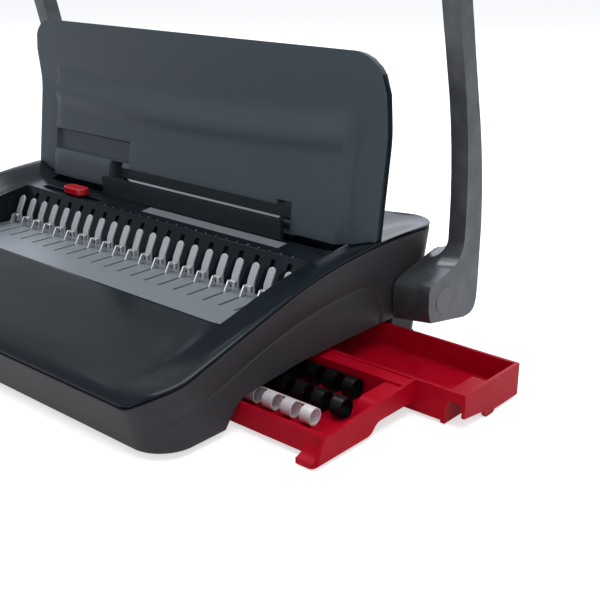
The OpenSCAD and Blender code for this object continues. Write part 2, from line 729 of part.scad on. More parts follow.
base_r = gear_r * cos(20);
function inv(r) = let (a = acos(min(1, base_r / r))) tan(a) * 180 / PI - a;
function half_tooth(r) = 90 / gear_n - backlash / gear_r * 180 / PI + inv(gear_r) - inv(max(r, base_r));
module pinion() difference() {
    rs = concat([gear_r - 1.25 * gear_m, base_r], [for (k = [-0.3, 0, 0.45, 0.9]) gear_r + k * gear_m]);
    tooth = [for (k = [0:gear_n - 1]) let (c = 90 + (k + 0.5) * 360 / gear_n)
        concat([for (r = rs) [c - half_tooth(r), r]], [for (i = [5:-1:0]) [c + half_tooth(rs[i]), rs[i]]])];
    along_x(gear_x, gear_x + gear_w) polygon([for (t = tooth) for (q = t)
        [pivot_y + q[1] * cos(q[0]), pivot_z + q[1] * sin(q[0])]]);
    rod_x(gear_x - 1, gear_x + gear_w + 1, pivot_y, pivot_z, shaft_d / 2);
}
module pinion_right() color("#b08a4a") pinion();
module pinion_left() color("#b08a4a") mirror([1, 0, 0]) pinion();

cap_t = 4;
hub_taper = 0.15;
hub_slope = 0.235;
blend_r = 14;
blend_wide = 1.25;
arm_front = arm_mid(bend_0) - arm_deep_low / 2;
arm_rear = arm_mid(bend_0) + arm_deep_low / 2;
arm_steps = [for (z = [bend_0 + 8:16:grip_z + 4]) z];
function shoulder(y) = pivot_z + 15.6 + (y - pivot_y + 7) * hub_slope;
// Outline of the hub, with its front, top and rear moved in by e and its front foot let down
function hub_outline(e) = concat(
    bez([pivot_y - 13.5 + e / 2, pivot_z - 12 - e], [pivot_y - 17 + e, pivot_z - 7],
        [pivot_y - 17.3 + e, pivot_z + 2], [pivot_y - 16.9 + e, pivot_z + 8.5 - e], 8),
    bez([pivot_y - 16.6 + e, pivot_z + 10.5 - e], [pivot_y - 15.4 + e, pivot_z + 13 - e],
        [pivot_y - 13 + e, pivot_z + 14.2 - e], [pivot_y - 7 + e, shoulder(pivot_y - 7 + e) - e], 6),
    [[arm_rear - 1.4 * e, shoulder(arm_rear - 1.4 * e) - e], [arm_rear - e, shoulder(arm_rear) - 2 * e],
        [arm_rear - e, pivot_z]],
    bez([arm_rear - 0.5 - e, pivot_z - 8], [arm_rear - 1.5 - e, pivot_z - 19],
        [arm_rear - 7.5 - e, pivot_z - 19], [arm_rear - 15.5, pivot_z - 19], 8));
// Hollow fillet round the foot of the arm, sheared to follow the shoulder
module hub_blend() multmatrix([[1, 0, 0, arm_x - arm_w], [0, 1, 0, arm_front],
        [hub_taper, hub_slope, 1, shoulder(arm_front) - hub_taper * arm_w], [0, 0, 0, 1]]) {
    fillet = concat([[0, -3], [0, blend_r]], arc(-blend_r, blend_r, blend_r, 0, -90, 12), [[-blend_r, -3]]);
    along_x(0, arm_w) polygon(fillet);
    scale([blend_wide, 1, 1]) {
        along_y(0, arm_deep_low - hub_taper * hub_w) polygon(fillet);
        rotate([0, 0, 180]) rotate_extrude(angle = 90) polygon([for (q = fillet) [-q[0], q[1]]]);
    }
}
module handle_arm() difference() {
    union() {
        // Hub that tapers towards the body
        hull() {
            along_x(arm_x - 0.1, arm_x) polygon(hub_outline(0));
            along_x(hub_x, hub_x + 0.1) polygon(hub_outline(hub_taper * hub_w));
        }
        hub_blend();
        // Arm, bent forward and tapering
        along_x(arm_x - arm_w, arm_x) polygon(concat(
            [[arm_front, pivot_z + 16], [arm_front, bend_0]],
            [for (z = arm_steps) [arm_mid(z) - arm_deep(z) / 2, z]],
            [for (z = rev([for (q = arm_steps) [q, 0]])) [arm_mid(z[0]) + arm_deep(z[0]) / 2, z[0]]],
            [[arm_rear, bend_0], [arm_rear, pivot_z + 16]]));
        rod_x(arm_x - arm_w, arm_x, grip_y, grip_z, grip_d / 2 + 3);
    }
    rod_x(hub_x - 1, arm_x - 5, pivot_y, pivot_z, shaft_d / 2);
    rod_x(arm_x - 5 - 0.1, arm_x + 1, pivot_y, pivot_z, cap_d / 2);
    rod_x(arm_x - arm_w - 1, arm_x - 4, grip_y, grip_z, grip_d / 2);
}
module handle_arm_right() color(handle_col) handle_arm();
module handle_arm_left() color(handle_col) mirror([1, 0, 0]) handle_arm();
module pivot_cap_right() color("#6f7275") rod_x(arm_x - cap_t, arm_x + 0.4, pivot_y, pivot_z, cap_d / 2);
module pivot_cap_left() color("#6f7275") mirror([1, 0, 0])
    rod_x(arm_x - cap_t, arm_x + 0.4, pivot_y, pivot_z, cap_d / 2);
module grip_bar() color(zinc_col) difference() {
    rod_x(-arm_x + 4, arm_x - 4, grip_y, grip_z, grip_d / 2);
    rod_x(-arm_x + 3, arm_x - 3, grip_y, grip_z, grip_d / 2 - tube_t);
}
module grip_sleeve() color("#242527") difference() {
    rod_x(-arm_x + arm_w + 2, arm_x - arm_w - 2, grip_y, grip_z, grip_d / 2 + sleeve_t);
    rod_x(-arm_x, arm_x, grip_y, grip_z, grip_d / 2);
}

// Lid -------------------------------------------------------------------

// In the lid's own frame Z runs from the hinge to the free edge and -Y is its inner side
module lid_place() translate([0, hinge_y, hinge_z]) rotate([-lid_lean, 0, 0]) children();
module lid_outline(inset, u0) let (x = lid_x - inset, r = 24 - inset, top = lid_len - inset)
    along_y(-60, 60) polygon(concat([[-x, u0 + 9]], arc(-x + r, top - r, r, 180, 90, 8),
        arc(x - r, top - r, r, 90, 0, 8), [[x, u0 + 9], [x - 14, u0 + 5.4], [x - 26, u0 + 3.8],
        [x - 38, u0 + 0.8], [x - 57, u0], [57 - x, u0], [38 - x, u0 + 0.8], [26 - x, u0 + 3.8],
        [14 - x, u0 + 5.4]]));
function lid_face(v) = [[-v, -20], [-v, bend_u],
    [-v - (lid_len + 10 - bend_u) * tan(bend_v), lid_len + 10]];
module lid_band(v0, v1) along_x(-lid_x, lid_x) polygon(concat(lid_face(v0), rev(lid_face(v1))));
// Room for the fence, deep enough that only the outer skin stays, and through notches for the lugs
module lid_cuts() {
    box([fence_left, -60, -30], [fence_right + 2, 60, skin_u]);
    box([fence_left, -60, -30], [fence_right + 2, lid_t - lid_wall - rim_v, cut_u]);
    for (x = [fence_left, fence_right + 2 - notch_w]) box([x, -60, -30], [x + notch_w, 60, notch_u]);
}
module hinge_barrel(x0, x1, r) rod_x(x0, x1, 0, 0, r);
barrel_r = 4.4;
barrel_w = 15;

module lid_shell() color(lid_col) lid_place() difference() {
    union() {
        difference() {
            intersection() {
                lid_outline(0, -1);
                lid_band(rim_v - lid_t, rim_v);
            }
            intersection() {
                lid_outline(lid_wall, -1 + lid_wall);
                lid_band(rim_v - lid_t + lid_wall, rim_v + 20);
            }
            lid_cuts();
        }
        // Closing walls round the cut-out, and the hinge barrels
        intersection() {
            difference() {
                box([fence_left - lid_wall, -60, -1], [fence_right + 2 + lid_wall, 60, notch_u + lid_wall]);
                lid_cuts();
                box([fence_left + notch_w + lid_wall, -60, cut_u + lid_wall],
                    [fence_right + 2 - notch_w - lid_wall, 60, 60]);
            }
            lid_band(rim_v - lid_t, rim_v);
            lid_outline(0, -1);
        }
        hinge_barrel(fence_left - barrel_w, fence_left - 0.2, barrel_r);
        hinge_barrel(fence_right + 2.2, fence_right + 2 + barrel_w, barrel_r);
    }
    hinge_barrel(fence_left - barrel_w - 1, fence_left + 1, hinge_d / 2 + shaft_clear);
    hinge_barrel(fence_right + 1, fence_right + 3 + barrel_w, hinge_d / 2 + shaft_clear);
}

module lid_panel() color("#3a4046") lid_place() difference() {
    union() {
        intersection() {
            lid_outline(lid_wall + 0.3, barrel_r + 2.5);
            lid_band(rim_v - 2.2, rim_v - 0.2);
        }
        intersection() {
            box([-panel_x, -60, barrel_r + 2.5], [panel_x, 60, bend_u + 2]);
            lid_band(rim_v - 0.4, rim_v + panel_out);
        }
    }
    lid_cuts();
    box([fence_left - lid_wall - 0.3, -60, -30],
        [fence_right + 2 + lid_wall + 0.3, 60, cut_u + lid_wall + 0.3]);
    for (x = [fence_left, fence_right + 2 - notch_w])
        box([x - lid_wall - 0.3, -60, -30], [x + notch_w + lid_wall + 0.3, 60, notch_u + lid_wall + 0.3]);
    // Pocket that clears the edge guide knob when the lid is shut
    box([knob_x - knob_left - knob_len / 2 - 3, -60, hinge_y - knob_y - knob_w / 2 - 1.5],
        [knob_x + knob_right + knob_len / 2 + 3, 0.8, hinge_y - knob_y + knob_w / 2 + 5]);
}

module hinge_lugs() color(cover_col) difference() {
    for (x = [fence_left, fence_right + 2 - notch_w]) difference() {
        union() {
            rod_x(x + 0.7, x + notch_w - 0.7, hinge_y, hinge_z, barrel_r);
            along_x(x + 0.7, x + notch_w - 0.7) polygon([[hinge_y - 1, hinge_z - barrel_r + 0.2],
                [slot_rear + 0.5, 60], [slot_rear + 6, 60], [slot_rear + 6, deck_z + 2.4],
                [hinge_y + 3, hinge_z + 3]]);
        }
        rod_x(x - 1, x + notch_w + 1, hinge_y, hinge_z, hinge_d / 2);
    }
    along_x(-body_x, body_x) polygon(under_crown);
}
module hinge_pins() color(steel_col) {
    rod_x(fence_left - barrel_w + 1, fence_left + notch_w - 1, hinge_y, hinge_z, hinge_d / 2);
    rod_x(fence_right + 3 - notch_w, fence_right + 1 + barrel_w, hinge_y, hinge_z, hinge_d / 2);
}

// Sheet guides ----------------------------------------------------------

fence_t = 4;
module paper_fence() color("#272c31") difference() {
    box([fence_left, slot_front - fence_t - 0.4, deck_z - 3],
        [fence_right, slot_front - 0.4, deck_z + fence_h]);
    along_x(-body_x, body_x) polygon(under_crown);
}
module guide_strip() color("#8b9095") difference() {
    along_y(36, 45) polygon([[-20, 60], [116, 60], [116, deck_z + 1], [-20, deck_z + 1]]);
    along_x(-body_x, body_x) polygon(under_crown);
    along_x(-body_x, body_x) polygon([[20, 90], [20, 69.2], [54, deck_z + 0.6], [54, 90]]);
}
knob_z = deck_z - 0.6;
module edge_knob() color("#b3122b") {
    translate([knob_x, knob_y, knob_z]) {
        for (s = [-1, 1]) translate([s * (knob_len - knob_w) / 2, 0, 0]) cylinder(d = knob_w, h = 5);
        box([-(knob_len - knob_w) / 2, -knob_w / 2, 0], [(knob_len - knob_w) / 2, knob_w / 2, 5]);
    }
    box([knob_x - shank_w / 2, knob_y - shank_w / 2, deck_z - 5.5],
        [knob_x + shank_w / 2, knob_y + shank_w / 2, knob_z]);
}
module edge_stop() color(steel_col) {
    y0 = slot_front - skirt_t - 1.5;
    y1 = strip_front - 0.5;
    z0 = plates_top + 0.7;
    z1 = deck_z - 5.5;
    box([knob_x - 6, knob_y - 5, z1 - stop_t], [knob_x + 6, y0, z1]);
    box([knob_x - stop_w / 2, y0, z0], [knob_x + stop_w / 2, y0 + stop_t, z1]);
    box([knob_x - stop_w / 2, y0 + stop_t, z0], [knob_x + stop_w / 2, y1, z0 + stop_t]);
    // Finger in the throat, above the path of the pins
    box([knob_x - stop_w / 2, throat_front + 0.5, punch_z + hole_h + 2], [knob_x + stop_w / 2, y1, z0]);
}

// Tray and combs --------------------------------------------------------

arch_z = tray_floor + 1.7;
pocket_x = tray_x2 - 13;
pocket_y = tray_mid + 29;
pocket_z = tray_top - 6.3;
foot_round = 4;
module tray() color(red_col) difference() {
    union() {
        x0 = tray_x0;
        f = tray_floor - 2;
        box([x0, tray_front, f], [tray_x1 - tray_t, tray_mid, tray_floor]);
        box([x0, tray_mid - tray_t, f], [pocket_x - 1, pocket_y + 1, tray_floor]);
        box([x0, pocket_y, f], [tray_x2 - tray_t / 2, tray_rear, tray_floor]);
        // Long walls
        box([x0, tray_front, tray_low_z], [tray_x1, tray_front + tray_t, tray_low]);
        box([x0, tray_rear - tray_t, tray_low_z], [tray_x2, tray_rear, tray_top]);
        box([x0, tray_mid - tray_t, f], [pocket_x, tray_mid, tray_top]);
        box([tray_x1 - 10, tray_mid - tray_t, 2], [pocket_x, tray_mid, tray_top]);
        box([pocket_x - 1, tray_mid - tray_t, tray_floor + 0.6], [tray_x2, tray_mid, tray_top]);
        box([x0, tray_front, tray_low_z], [x0 + tray_t, tray_rear, tray_low]);
        // Ridge between the compartments
        box([x0, tray_mid - ridge_w, f], [tray_x1, tray_mid - ridge_w + tray_t, tray_top - 0.8]);
        box([x0, tray_mid - ridge_w, tray_top - 2.8], [tray_x1, tray_mid, tray_top - 0.8]);
        // End of the front part: a leaning front edge, a foot and an arch for the fingers
        along_x(tray_x1 - tray_t, tray_x1) polygon(concat(
            [[tray_front - 9, 2.6], [tray_front - 1, tray_low - 1], [tray_front - 0.2, tray_low - 0.1]],
            [[tray_mid, tray_top], [tray_mid, arch_z], [tray_front + 51, arch_z]],
            bez([tray_front + 48, arch_z], [tray_front + 42, arch_z],
                [tray_front + 42, 2.6], [tray_front + 36, 2.6], 6)));
        // Foot in front, swept up into the front wall
        along_x(tray_x1 - 14, tray_x1) polygon(concat([[tray_front + tray_t, 0.8], [tray_front - 9, 0.8]],
            bez([tray_front - 9, 4.2], [tray_front - 5.5, 4.6], [tray_front - 1.6, 7], [tray_front, 12], 8),
            [[tray_front + tray_t, 12]]));
        // Finger block in the front part, rounded down towards the front
        along_x(tray_x1 - 14, tray_x1 - tray_t) polygon(concat([[tray_mid - ridge_w + 1, f],
            [tray_mid - ridge_w + 1, tray_top - 2], [tray_mid - 30, tray_top - 2.4]],
            bez([tray_mid - 34, tray_top - 2.6], [tray_mid - 40, tray_top - 3.6],
                [tray_mid - 41, tray_top - 9], [tray_mid - 45, f], 8)));
        // End of the rear part, with a tab below
        along_x(tray_x2 - tray_t, tray_x2) polygon(concat([[tray_mid - tray_t, tray_floor + 0.6],
            [tray_mid - tray_t, tray_top], [tray_rear, tray_top], [tray_rear, 1.6], [tray_rear - 24, 1.6]],
            arc(tray_rear - 32, 5, 6.5, -30, -170, 6), [[tray_mid + 18, 5]]));
        // Step over the catch pocket, with a skid along its left side
        box([pocket_x - 3, tray_mid - 0.1, pocket_z - 2], [tray_x2 - 1, pocket_y + 2, pocket_z + 2]);
        box([pocket_x - 3, pocket_y, f], [tray_x2 - 1, pocket_y + 2, pocket_z + 2]);
        box([pocket_x - 3, tray_mid - tray_t, 0.4], [pocket_x, pocket_y + 2, pocket_z + 1]);
    }
    // Catch pocket in the near corner of the rear part, open below and in front
    along_y(tray_mid - tray_t - 1, pocket_y) polygon([[pocket_x, -1], [tray_x2 - tray_t, -1],
        [tray_x2 - tray_t, pocket_z], [pocket_x + 2.7, pocket_z], [pocket_x, pocket_z - 5.5]]);
    // Finger space under the block, open through the arch of the end
    box([tray_x1 - 12, tray_mid - 37, -1], [tray_x1 - tray_t, tray_mid - ridge_w - 1, tray_top - 4.4]);
    box([tray_x1 - 12, tray_mid - 43, -1], [tray_x1 - tray_t, tray_mid - tray_t, arch_z]);
    box([tray_x1 - tray_t - 1, tray_front + 51, -1], [tray_x1 + 1, tray_mid - tray_t, arch_z]);
    // Rounded corner and rounded lower edge of the foot
    translate([tray_x1 - foot_round, tray_front - 9 + foot_round, -1]) difference() {
        translate([0, -foot_round - 1, 0]) cube([foot_round + 1, foot_round + 1, tray_low]);
        cylinder(r = foot_round, h = tray_low + 1);
    }
    along_y(tray_front - 10, tray_front + tray_t + 1) polygon(concat([[tray_x1 + 1, -1], [tray_x1 - 6, -1]],
        bez([tray_x1 - 6, 0.8], [tray_x1 - 4, 0.8], [tray_x1 - 1, 1.2], [tray_x1 + 0.01, 2.6], 6),
        [[tray_x1 + 1, 2.6]]));
}

finger_w = 7.6;
comb_t = 0.8;
small_comb = 10.5;
large_comb = 12.5;
spine_turn = 145;
module comb(d, x1, y) {
    translate([x1 - finger_w / 2 - (comb_n - 1) * pitch, y, tray_floor + 0.1 + d / 2]) {
        for (i = [0:comb_n - 1]) translate([i * pitch, 0, 0]) difference() {
            rod_x(-finger_w / 2, finger_w / 2, 0, 0, d / 2);
            rod_x(-finger_w, finger_w, 0, 0, d / 2 - comb_t);
        }
        // Spine above and a little to the rear
        rotate([spine_turn, 0, 0])
            box([-finger_w / 2, -2.2, -d / 2], [(comb_n - 1) * pitch + finger_w / 2, 2.2, -d / 2 + comb_t]);
    }
}
module comb_white() color("#d9d9da") comb(small_comb, tray_x1 - 26, tray_front + 21.5);
module comb_black_front() color("#16171a") comb(large_comb, tray_x1 - 18, tray_front + 39.5);
module comb_black_rear() color("#16171a")
    comb(large_comb, tray_x1 - 29, tray_mid - ridge_w - large_comb / 2 - 1.25);

base_pan();
tray_bed();
rubber_feet();
lower_body();
top_cover();
recess_back();
guide_plate();
comb_plate();
comb_tines();
front_bracket();
cross_rail();
hook_bar();
comb_hooks();
rack_rod_right();
rack_rod_left();
rod_guides();
die_plate();
stripper_plate();
die_spacers();
paper_stop();
die_bolts();
die_mounts();
side_frame_right();
side_frame_left();
shaft_bush_right();
shaft_bush_left();
frame_screws();
case_screws();
pressure_bar();
pin_keeper();
punch_pins();
return_springs();
drive_shaft();
cam_right();
cam_left();
pinion_right();
pinion_left();
handle_arm_right();
handle_arm_left();
pivot_cap_right();
pivot_cap_left();
grip_bar();
grip_sleeve();
lid_shell();
lid_panel();
hinge_lugs();
hinge_pins();
paper_fence();
guide_strip();
edge_knob();
edge_stop();
tray();
comb_white();
comb_black_front();
comb_black_rear();
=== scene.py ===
import bpy
import bmesh
import math
import numpy as np
from mathutils import Vector, Matrix


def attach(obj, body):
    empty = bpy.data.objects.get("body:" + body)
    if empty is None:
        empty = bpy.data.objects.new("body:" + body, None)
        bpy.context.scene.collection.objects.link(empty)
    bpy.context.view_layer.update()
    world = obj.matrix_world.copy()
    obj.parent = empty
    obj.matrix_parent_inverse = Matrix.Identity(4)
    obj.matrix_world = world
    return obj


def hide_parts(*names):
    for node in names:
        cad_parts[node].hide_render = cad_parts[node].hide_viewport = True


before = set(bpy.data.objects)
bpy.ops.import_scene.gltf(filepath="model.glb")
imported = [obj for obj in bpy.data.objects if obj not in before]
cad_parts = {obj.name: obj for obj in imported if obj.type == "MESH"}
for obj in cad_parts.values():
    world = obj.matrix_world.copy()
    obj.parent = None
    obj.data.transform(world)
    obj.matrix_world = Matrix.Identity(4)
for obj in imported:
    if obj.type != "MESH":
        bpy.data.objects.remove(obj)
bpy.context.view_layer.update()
scene = bpy.context.scene
mm = 0.001
smoothBelow = 38  # degrees: an edge that turns less is shaded smooth
print("packed model loaded:", len(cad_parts), "nodes")


# small tools

def rgb(r, g, b):
    # colour from a paint chart to Blender's linear values
    shares = [c / 255 for c in (r, g, b)]
    return tuple(s / 12.92 if s < 0.0408 else ((s + 0.055) / 1.055) ** 2.4 for s in shares) + (1.0,)


def curve4(a, b, c, d, n=12):
    # points on a curve from a to d that b and c pull
    out = []
    for i in range(n + 1):
        t = i / n
        s = 1 - t
        out.append(tuple(s * s * s * a[k] + 3 * s * s * t * b[k] + 3 * s * t * t * c[k]
                         + t * t * t * d[k] for k in range(len(a))))
    return out


def alongLine(points, x):
    return float(np.interp(x, [p[0] for p in points], [p[1] for p in points]))


def soft(low, high, x):
    # eases from 0 at low to 1 at high
    t = min(1, max(0, (x - low) / (high - low)))
    return t * t * (3 - 2 * t)


def steps(*stops):
    # stops are value, count, value, count, value ...
    out = [stops[0]]
    for k in range(1, len(stops) - 1, 2):
        a, n, b = stops[k - 1], stops[k], stops[k + 1]
        out += [a + (b - a) * i / n for i in range(1, n + 1)]
    return out


def vertsIn(geom):
    return [g for g in geom if isinstance(g, bmesh.types.BMVert)]


def patch(bm, us, vs, place):
    # a grid whose corners are put where place(u, v) says
    nu, nv = len(us) - 1, len(vs) - 1
    made = bmesh.ops.create_grid(bm, x_segments=nu, y_segments=nv, size=0.5)["verts"]
    for v in made:
        i, j = round((v.co.x + 0.5) * nu), round((v.co.y + 0.5) * nv)
        v.co = place(us[i], vs[j])
    return made


def push(bm, outline, low, high, axis="x"):
    # a flat outline pushed into a solid; its points are y, z along x, or x, z along y
    spot = {"x": lambda p, a: (a, p[0], p[1]), "y": lambda p, a: (p[0], a, p[1])}[axis]
    face = bm.faces.new([bm.verts.new(spot(p, low)) for p in outline])
    grown = bmesh.ops.extrude_face_region(bm, geom=[face])["geom"]
    bmesh.ops.translate(bm, vec=Vector(spot((0, 0), high - low)), verts=vertsIn(grown))


def openEdges(bm):
    return [e for e in bm.edges if len(e.link_faces) == 1]


def sharpEdges(bm, angle):
    return [e for e in bm.edges if len(e.link_faces) == 2 and e.calc_face_angle(0) > math.radians(angle)]


def roundOff(bm, edges, size, rows=3):
    bmesh.ops.bevel(bm, geom=edges, offset=size, offset_type="OFFSET", segments=rows, profile=0.5,
                    affect="EDGES", clamp_overlap=True, material=-1)


def shadeEdges(bm, angle):
    for e in bm.edges:
        e.smooth = len(e.link_faces) == 2 and e.calc_face_angle(0) < math.radians(angle)


def keep(bm, name, finish, body, stands=(), crease=smoothBelow, turn=True, weighted=True):
    # closes a piece: normals, shading, material, and the body that it moves with
    if turn:
        bmesh.ops.recalc_face_normals(bm, faces=bm.faces)
    for f in bm.faces:
        f.smooth = True
    shadeEdges(bm, crease)
    bmesh.ops.scale(bm, vec=(mm, mm, mm), verts=bm.verts)
    data = bpy.data.meshes.new(name)
    bm.to_mesh(data)
    bm.free()
    data.materials.append(finish)
    piece = bpy.data.objects.new(name, data)
    scene.collection.objects.link(piece)
    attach(piece, body)
    if stands:
        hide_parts(*stands)
    if weighted:
        weigh = piece.modifiers.new("faceWeights", "WEIGHTED_NORMAL")
        weigh.keep_sharp = True
    return piece


def copyOf(name):
    # the solid of a node in millimetres, its loose triangles joined again
    bm = bmesh.new()
    bm.from_mesh(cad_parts[name].data)
    bmesh.ops.scale(bm, vec=(1 / mm, 1 / mm, 1 / mm), verts=bm.verts)
    bmesh.ops.remove_doubles(bm, verts=bm.verts, dist=0.004)
    bmesh.ops.dissolve_limit(bm, angle_limit=math.radians(0.5), verts=bm.verts, edges=bm.edges)
    return bm


def dressed(piece, finish, body, name, size, rows):
    # the solid of a node with its sharp edges rounded
    bm = copyOf(name)
    roundOff(bm, sharpEdges(bm, 30), size, rows)
    return keep(bm, piece, look[finish], body, [name], turn=False)


def cutAway(piece, cutter):
    # takes the cutter's solid out of a finished piece
    tool = bpy.data.objects.new("tool", bpy.data.meshes.new("tool"))
    bmesh.ops.scale(cutter, vec=(mm, mm, mm), verts=cutter.verts)
    bmesh.ops.recalc_face_normals(cutter, faces=cutter.faces)
    cutter.to_mesh(tool.data)
    cutter.free()
    scene.collection.objects.link(tool)
    cut = piece.modifiers.new("cut", "BOOLEAN")
    cut.operation, cut.solver, cut.object = "DIFFERENCE", "EXACT", tool
    bpy.context.view_layer.update()
    done = bpy.data.meshes.new_from_object(piece.evaluated_get(bpy.context.evaluated_depsgraph_get()))
    piece.modifiers.clear()
    piece.data = done
    bpy.data.objects.remove(tool)
    bm = bmesh.new()
    bm.from_mesh(done)
    shadeEdges(bm, smoothBelow)
    bm.to_mesh(done)
    bm.free()


# tools for shader nodes

def node(tree, kind, sets=(), **links):
    # sets are sockets by name or number, or settings; a link's name is the socket's after an underscore
    made = tree.nodes.new("ShaderNode" + kind)
    for key, value in dict(sets).items():
        if isinstance(key, int) or key in made.inputs.keys():
            made.inputs[key].default_value = value
        else:
            setattr(made, key, value)
    for key, source in links.items():
        label = key[1:]
        tree.links.new(source, made.inputs[int(label) if label.isdigit() else label])
    return made


def maths(tree, operation, *terms):
    # each term is a socket or a plain number
    made = tree.nodes.new("ShaderNodeMath")
    made.operation = operation
    for i, term in enumerate(terms):
        if isinstance(term, float):
            made.inputs[i].default_value = term
        else:
            tree.links.new(term, made.inputs[i])
    return made.outputs[0]


def spread(tree, value, low, high, toLow=0.0, toHigh=1.0):
    # low ... high becomes toLow ... toHigh
    sets = {"From Min": low, "From Max": high, "To Min": toLow, "To Max": toHigh}
    return node(tree, "MapRange", sets, _Value=value).outputs[0]


def lookedAt(tree):
    # one for what the camera sees straight on, in a gloss or through glass
    path = node(tree, "LightPath").outputs
    seen = maths(tree, "MAXIMUM", path["Is Camera Ray"], path["Is Glossy Ray"])
    return maths(tree, "MAXIMUM", seen, path["Is Transmission Ray"])


# camera, lamps and room

view = {"place": (0.5400, -0.4290, 0.2724), "down": 20.76, "turn": 41.03,
        "lens": 60.28, "sensor": 36, "far": 20}
camera = bpy.data.objects.new("camera", bpy.data.cameras.new("camera"))
camera.data.lens = view["lens"]
camera.data.sensor_width = view["sensor"]
camera.data.clip_end = view["far"]
camera.location = view["place"]
camera.rotation_euler = (math.radians(90 - view["down"]), 0, math.radians(view["turn"]))
scene.collection.objects.link(camera)
scene.camera = camera

lamps = [  # name, place, aim, size, watts, colour
    ("overhead", (-0.7, 0.13, 1.3), (0.05, 0.0, 0.05), (0.7, 0.6), 9.0, (1, 1, 1)),
    ("topRight", (0.55, 0.05, 1.35), (0.1, 0.0, 0.05), (1.0, 0.8), 7.5, (1, 1, 1)),
    ("frontSoft", (-0.95, -1.4, 1.0), (0.0, -0.05, 0.05), (0.35, 0.3), 1.2, (1, 0.99, 0.98)),
    ("frontRight", (1.0, -1.6, 0.8), (0.2, 0.0, 0.1), (0.9, 0.7), 2.6, (1, 0.99, 0.98)),
    ("rightSoft", (1.7, -0.5, 0.8), (0.15, 0.0, 0.05), (1.0, 1.2), 3.0, (1, 1, 1)),
    ("rearStrip", (-0.9, 1.6, 0.8), (0.1, 0.1, 0.1), (2.2, 1.0), 11.0, (0.76, 0.84, 1)),
]
for name, place, aim, size, watts, colour in lamps:
    light = bpy.data.lights.new(name, "AREA")
    light.shape = "RECTANGLE"
    light.size, light.size_y = size
    light.energy = watts
    light.color = colour
    lamp = bpy.data.objects.new(name, light)
    lamp.location = place
    lamp.rotation_euler = (Vector(aim) - Vector(place)).to_track_quat("-Z", "Y").to_euler()
    scene.collection.objects.link(lamp)

room = {"air": (0.86, 0.9, 0.96, 1), "airStrength": 0.42, "backdrop": (1, 1, 1, 1), "backdropStrength": 1.0}
world = bpy.data.worlds.new("room")
scene.world = world
world.use_nodes = True
tree = world.node_tree
tree.nodes.clear()
air = node(tree, "Background", {"Color": room["air"], "Strength": room["airStrength"]})
backdrop = node(tree, "Background", {"Color": room["backdrop"], "Strength": room["backdropStrength"]})
shown = node(tree, "MixShader", {}, _0=lookedAt(tree), _1=air.outputs[0], _2=backdrop.outputs[0])
node(tree, "OutputWorld", {}, _0=shown.outputs[0])
scene.view_settings.view_transform = "Standard"
print("camera, lamps and room ready")


# finishes

def group(name, ins, outs):
    tree = bpy.data.node_groups.new(name, "ShaderNodeTree")
    kinds = {"v": "NodeSocketVector", "f": "NodeSocketFloat", "c": "NodeSocketColor"}
    for label, kind, value in ins:
        socket = tree.interface.new_socket(label, in_out="INPUT", socket_type=kinds[kind])
        if value is not None:
            socket.default_value = value
    for label, kind in outs:
        tree.interface.new_socket(label, in_out="OUTPUT", socket_type=kinds[kind])
    return tree, tree.nodes.new("NodeGroupInput").outputs, tree.nodes.new("NodeGroupOutput").inputs


def mouldedSkin():
    # slow mottle in tone and gloss, spark-eroded grain, dust where it faces up
    tree, given, put = group("mouldedSkin", [
        ("Vector", "v", None), ("Base", "c", (0.5, 0.5, 0.5, 1)), ("Tone", "f", 0.06),
        ("Roughness", "f", 0.4), ("Gloss drift", "f", 0.06), ("Grain size", "f", 900.0), ("Grain", "f", 0.3),
        ("Dust", "f", 0.03)], [("Color", "c"), ("Roughness", "f"), ("Height", "f")])
    at = given["Vector"]
    slow = node(tree, "TexNoise", {"Scale": 14.0, "Detail": 4.0}, _Vector=at)
    drift = spread(tree, slow.outputs[0], 0.3, 0.7, -1.0, 1.0)
    gain = maths(tree, "ADD", maths(tree, "MULTIPLY", drift, given["Tone"]), 1.0)
    toned = node(tree, "VectorMath", {"operation": "SCALE"}, _0=given["Base"], _Scale=gain)
    specks = node(tree, "TexNoise", {"Scale": 340.0, "Detail": 5.0, "Roughness": 0.7}, _Vector=at)
    facing = node(tree, "SeparateXYZ", {}, _0=node(tree, "NewGeometry").outputs["Normal"])
    settled = maths(tree, "MULTIPLY", spread(tree, specks.outputs[0], 0.52, 0.72),
                    spread(tree, facing.outputs["Z"], 0.4, 1.0))
    dust = maths(tree, "MULTIPLY", settled, given["Dust"])
    dustTone = (0.42, 0.43, 0.45, 1)
    dusty = node(tree, "Mix", {"data_type": "RGBA", 7: dustTone}, _0=dust, _6=toned.outputs[0])
    gloss = maths(tree, "ADD", maths(tree, "MULTIPLY", drift, given["Gloss drift"]), given["Roughness"])
    fine = node(tree, "TexNoise", {"Detail": 3.0}, _Vector=at, _Scale=given["Grain size"])
    tree.links.new(dusty.outputs[2], put["Color"])
    tree.links.new(maths(tree, "MULTIPLY_ADD", dust, 2.0, gloss), put["Roughness"])
    tree.links.new(maths(tree, "MULTIPLY", fine.outputs[0], given["Grain"]), put["Height"])
    return tree


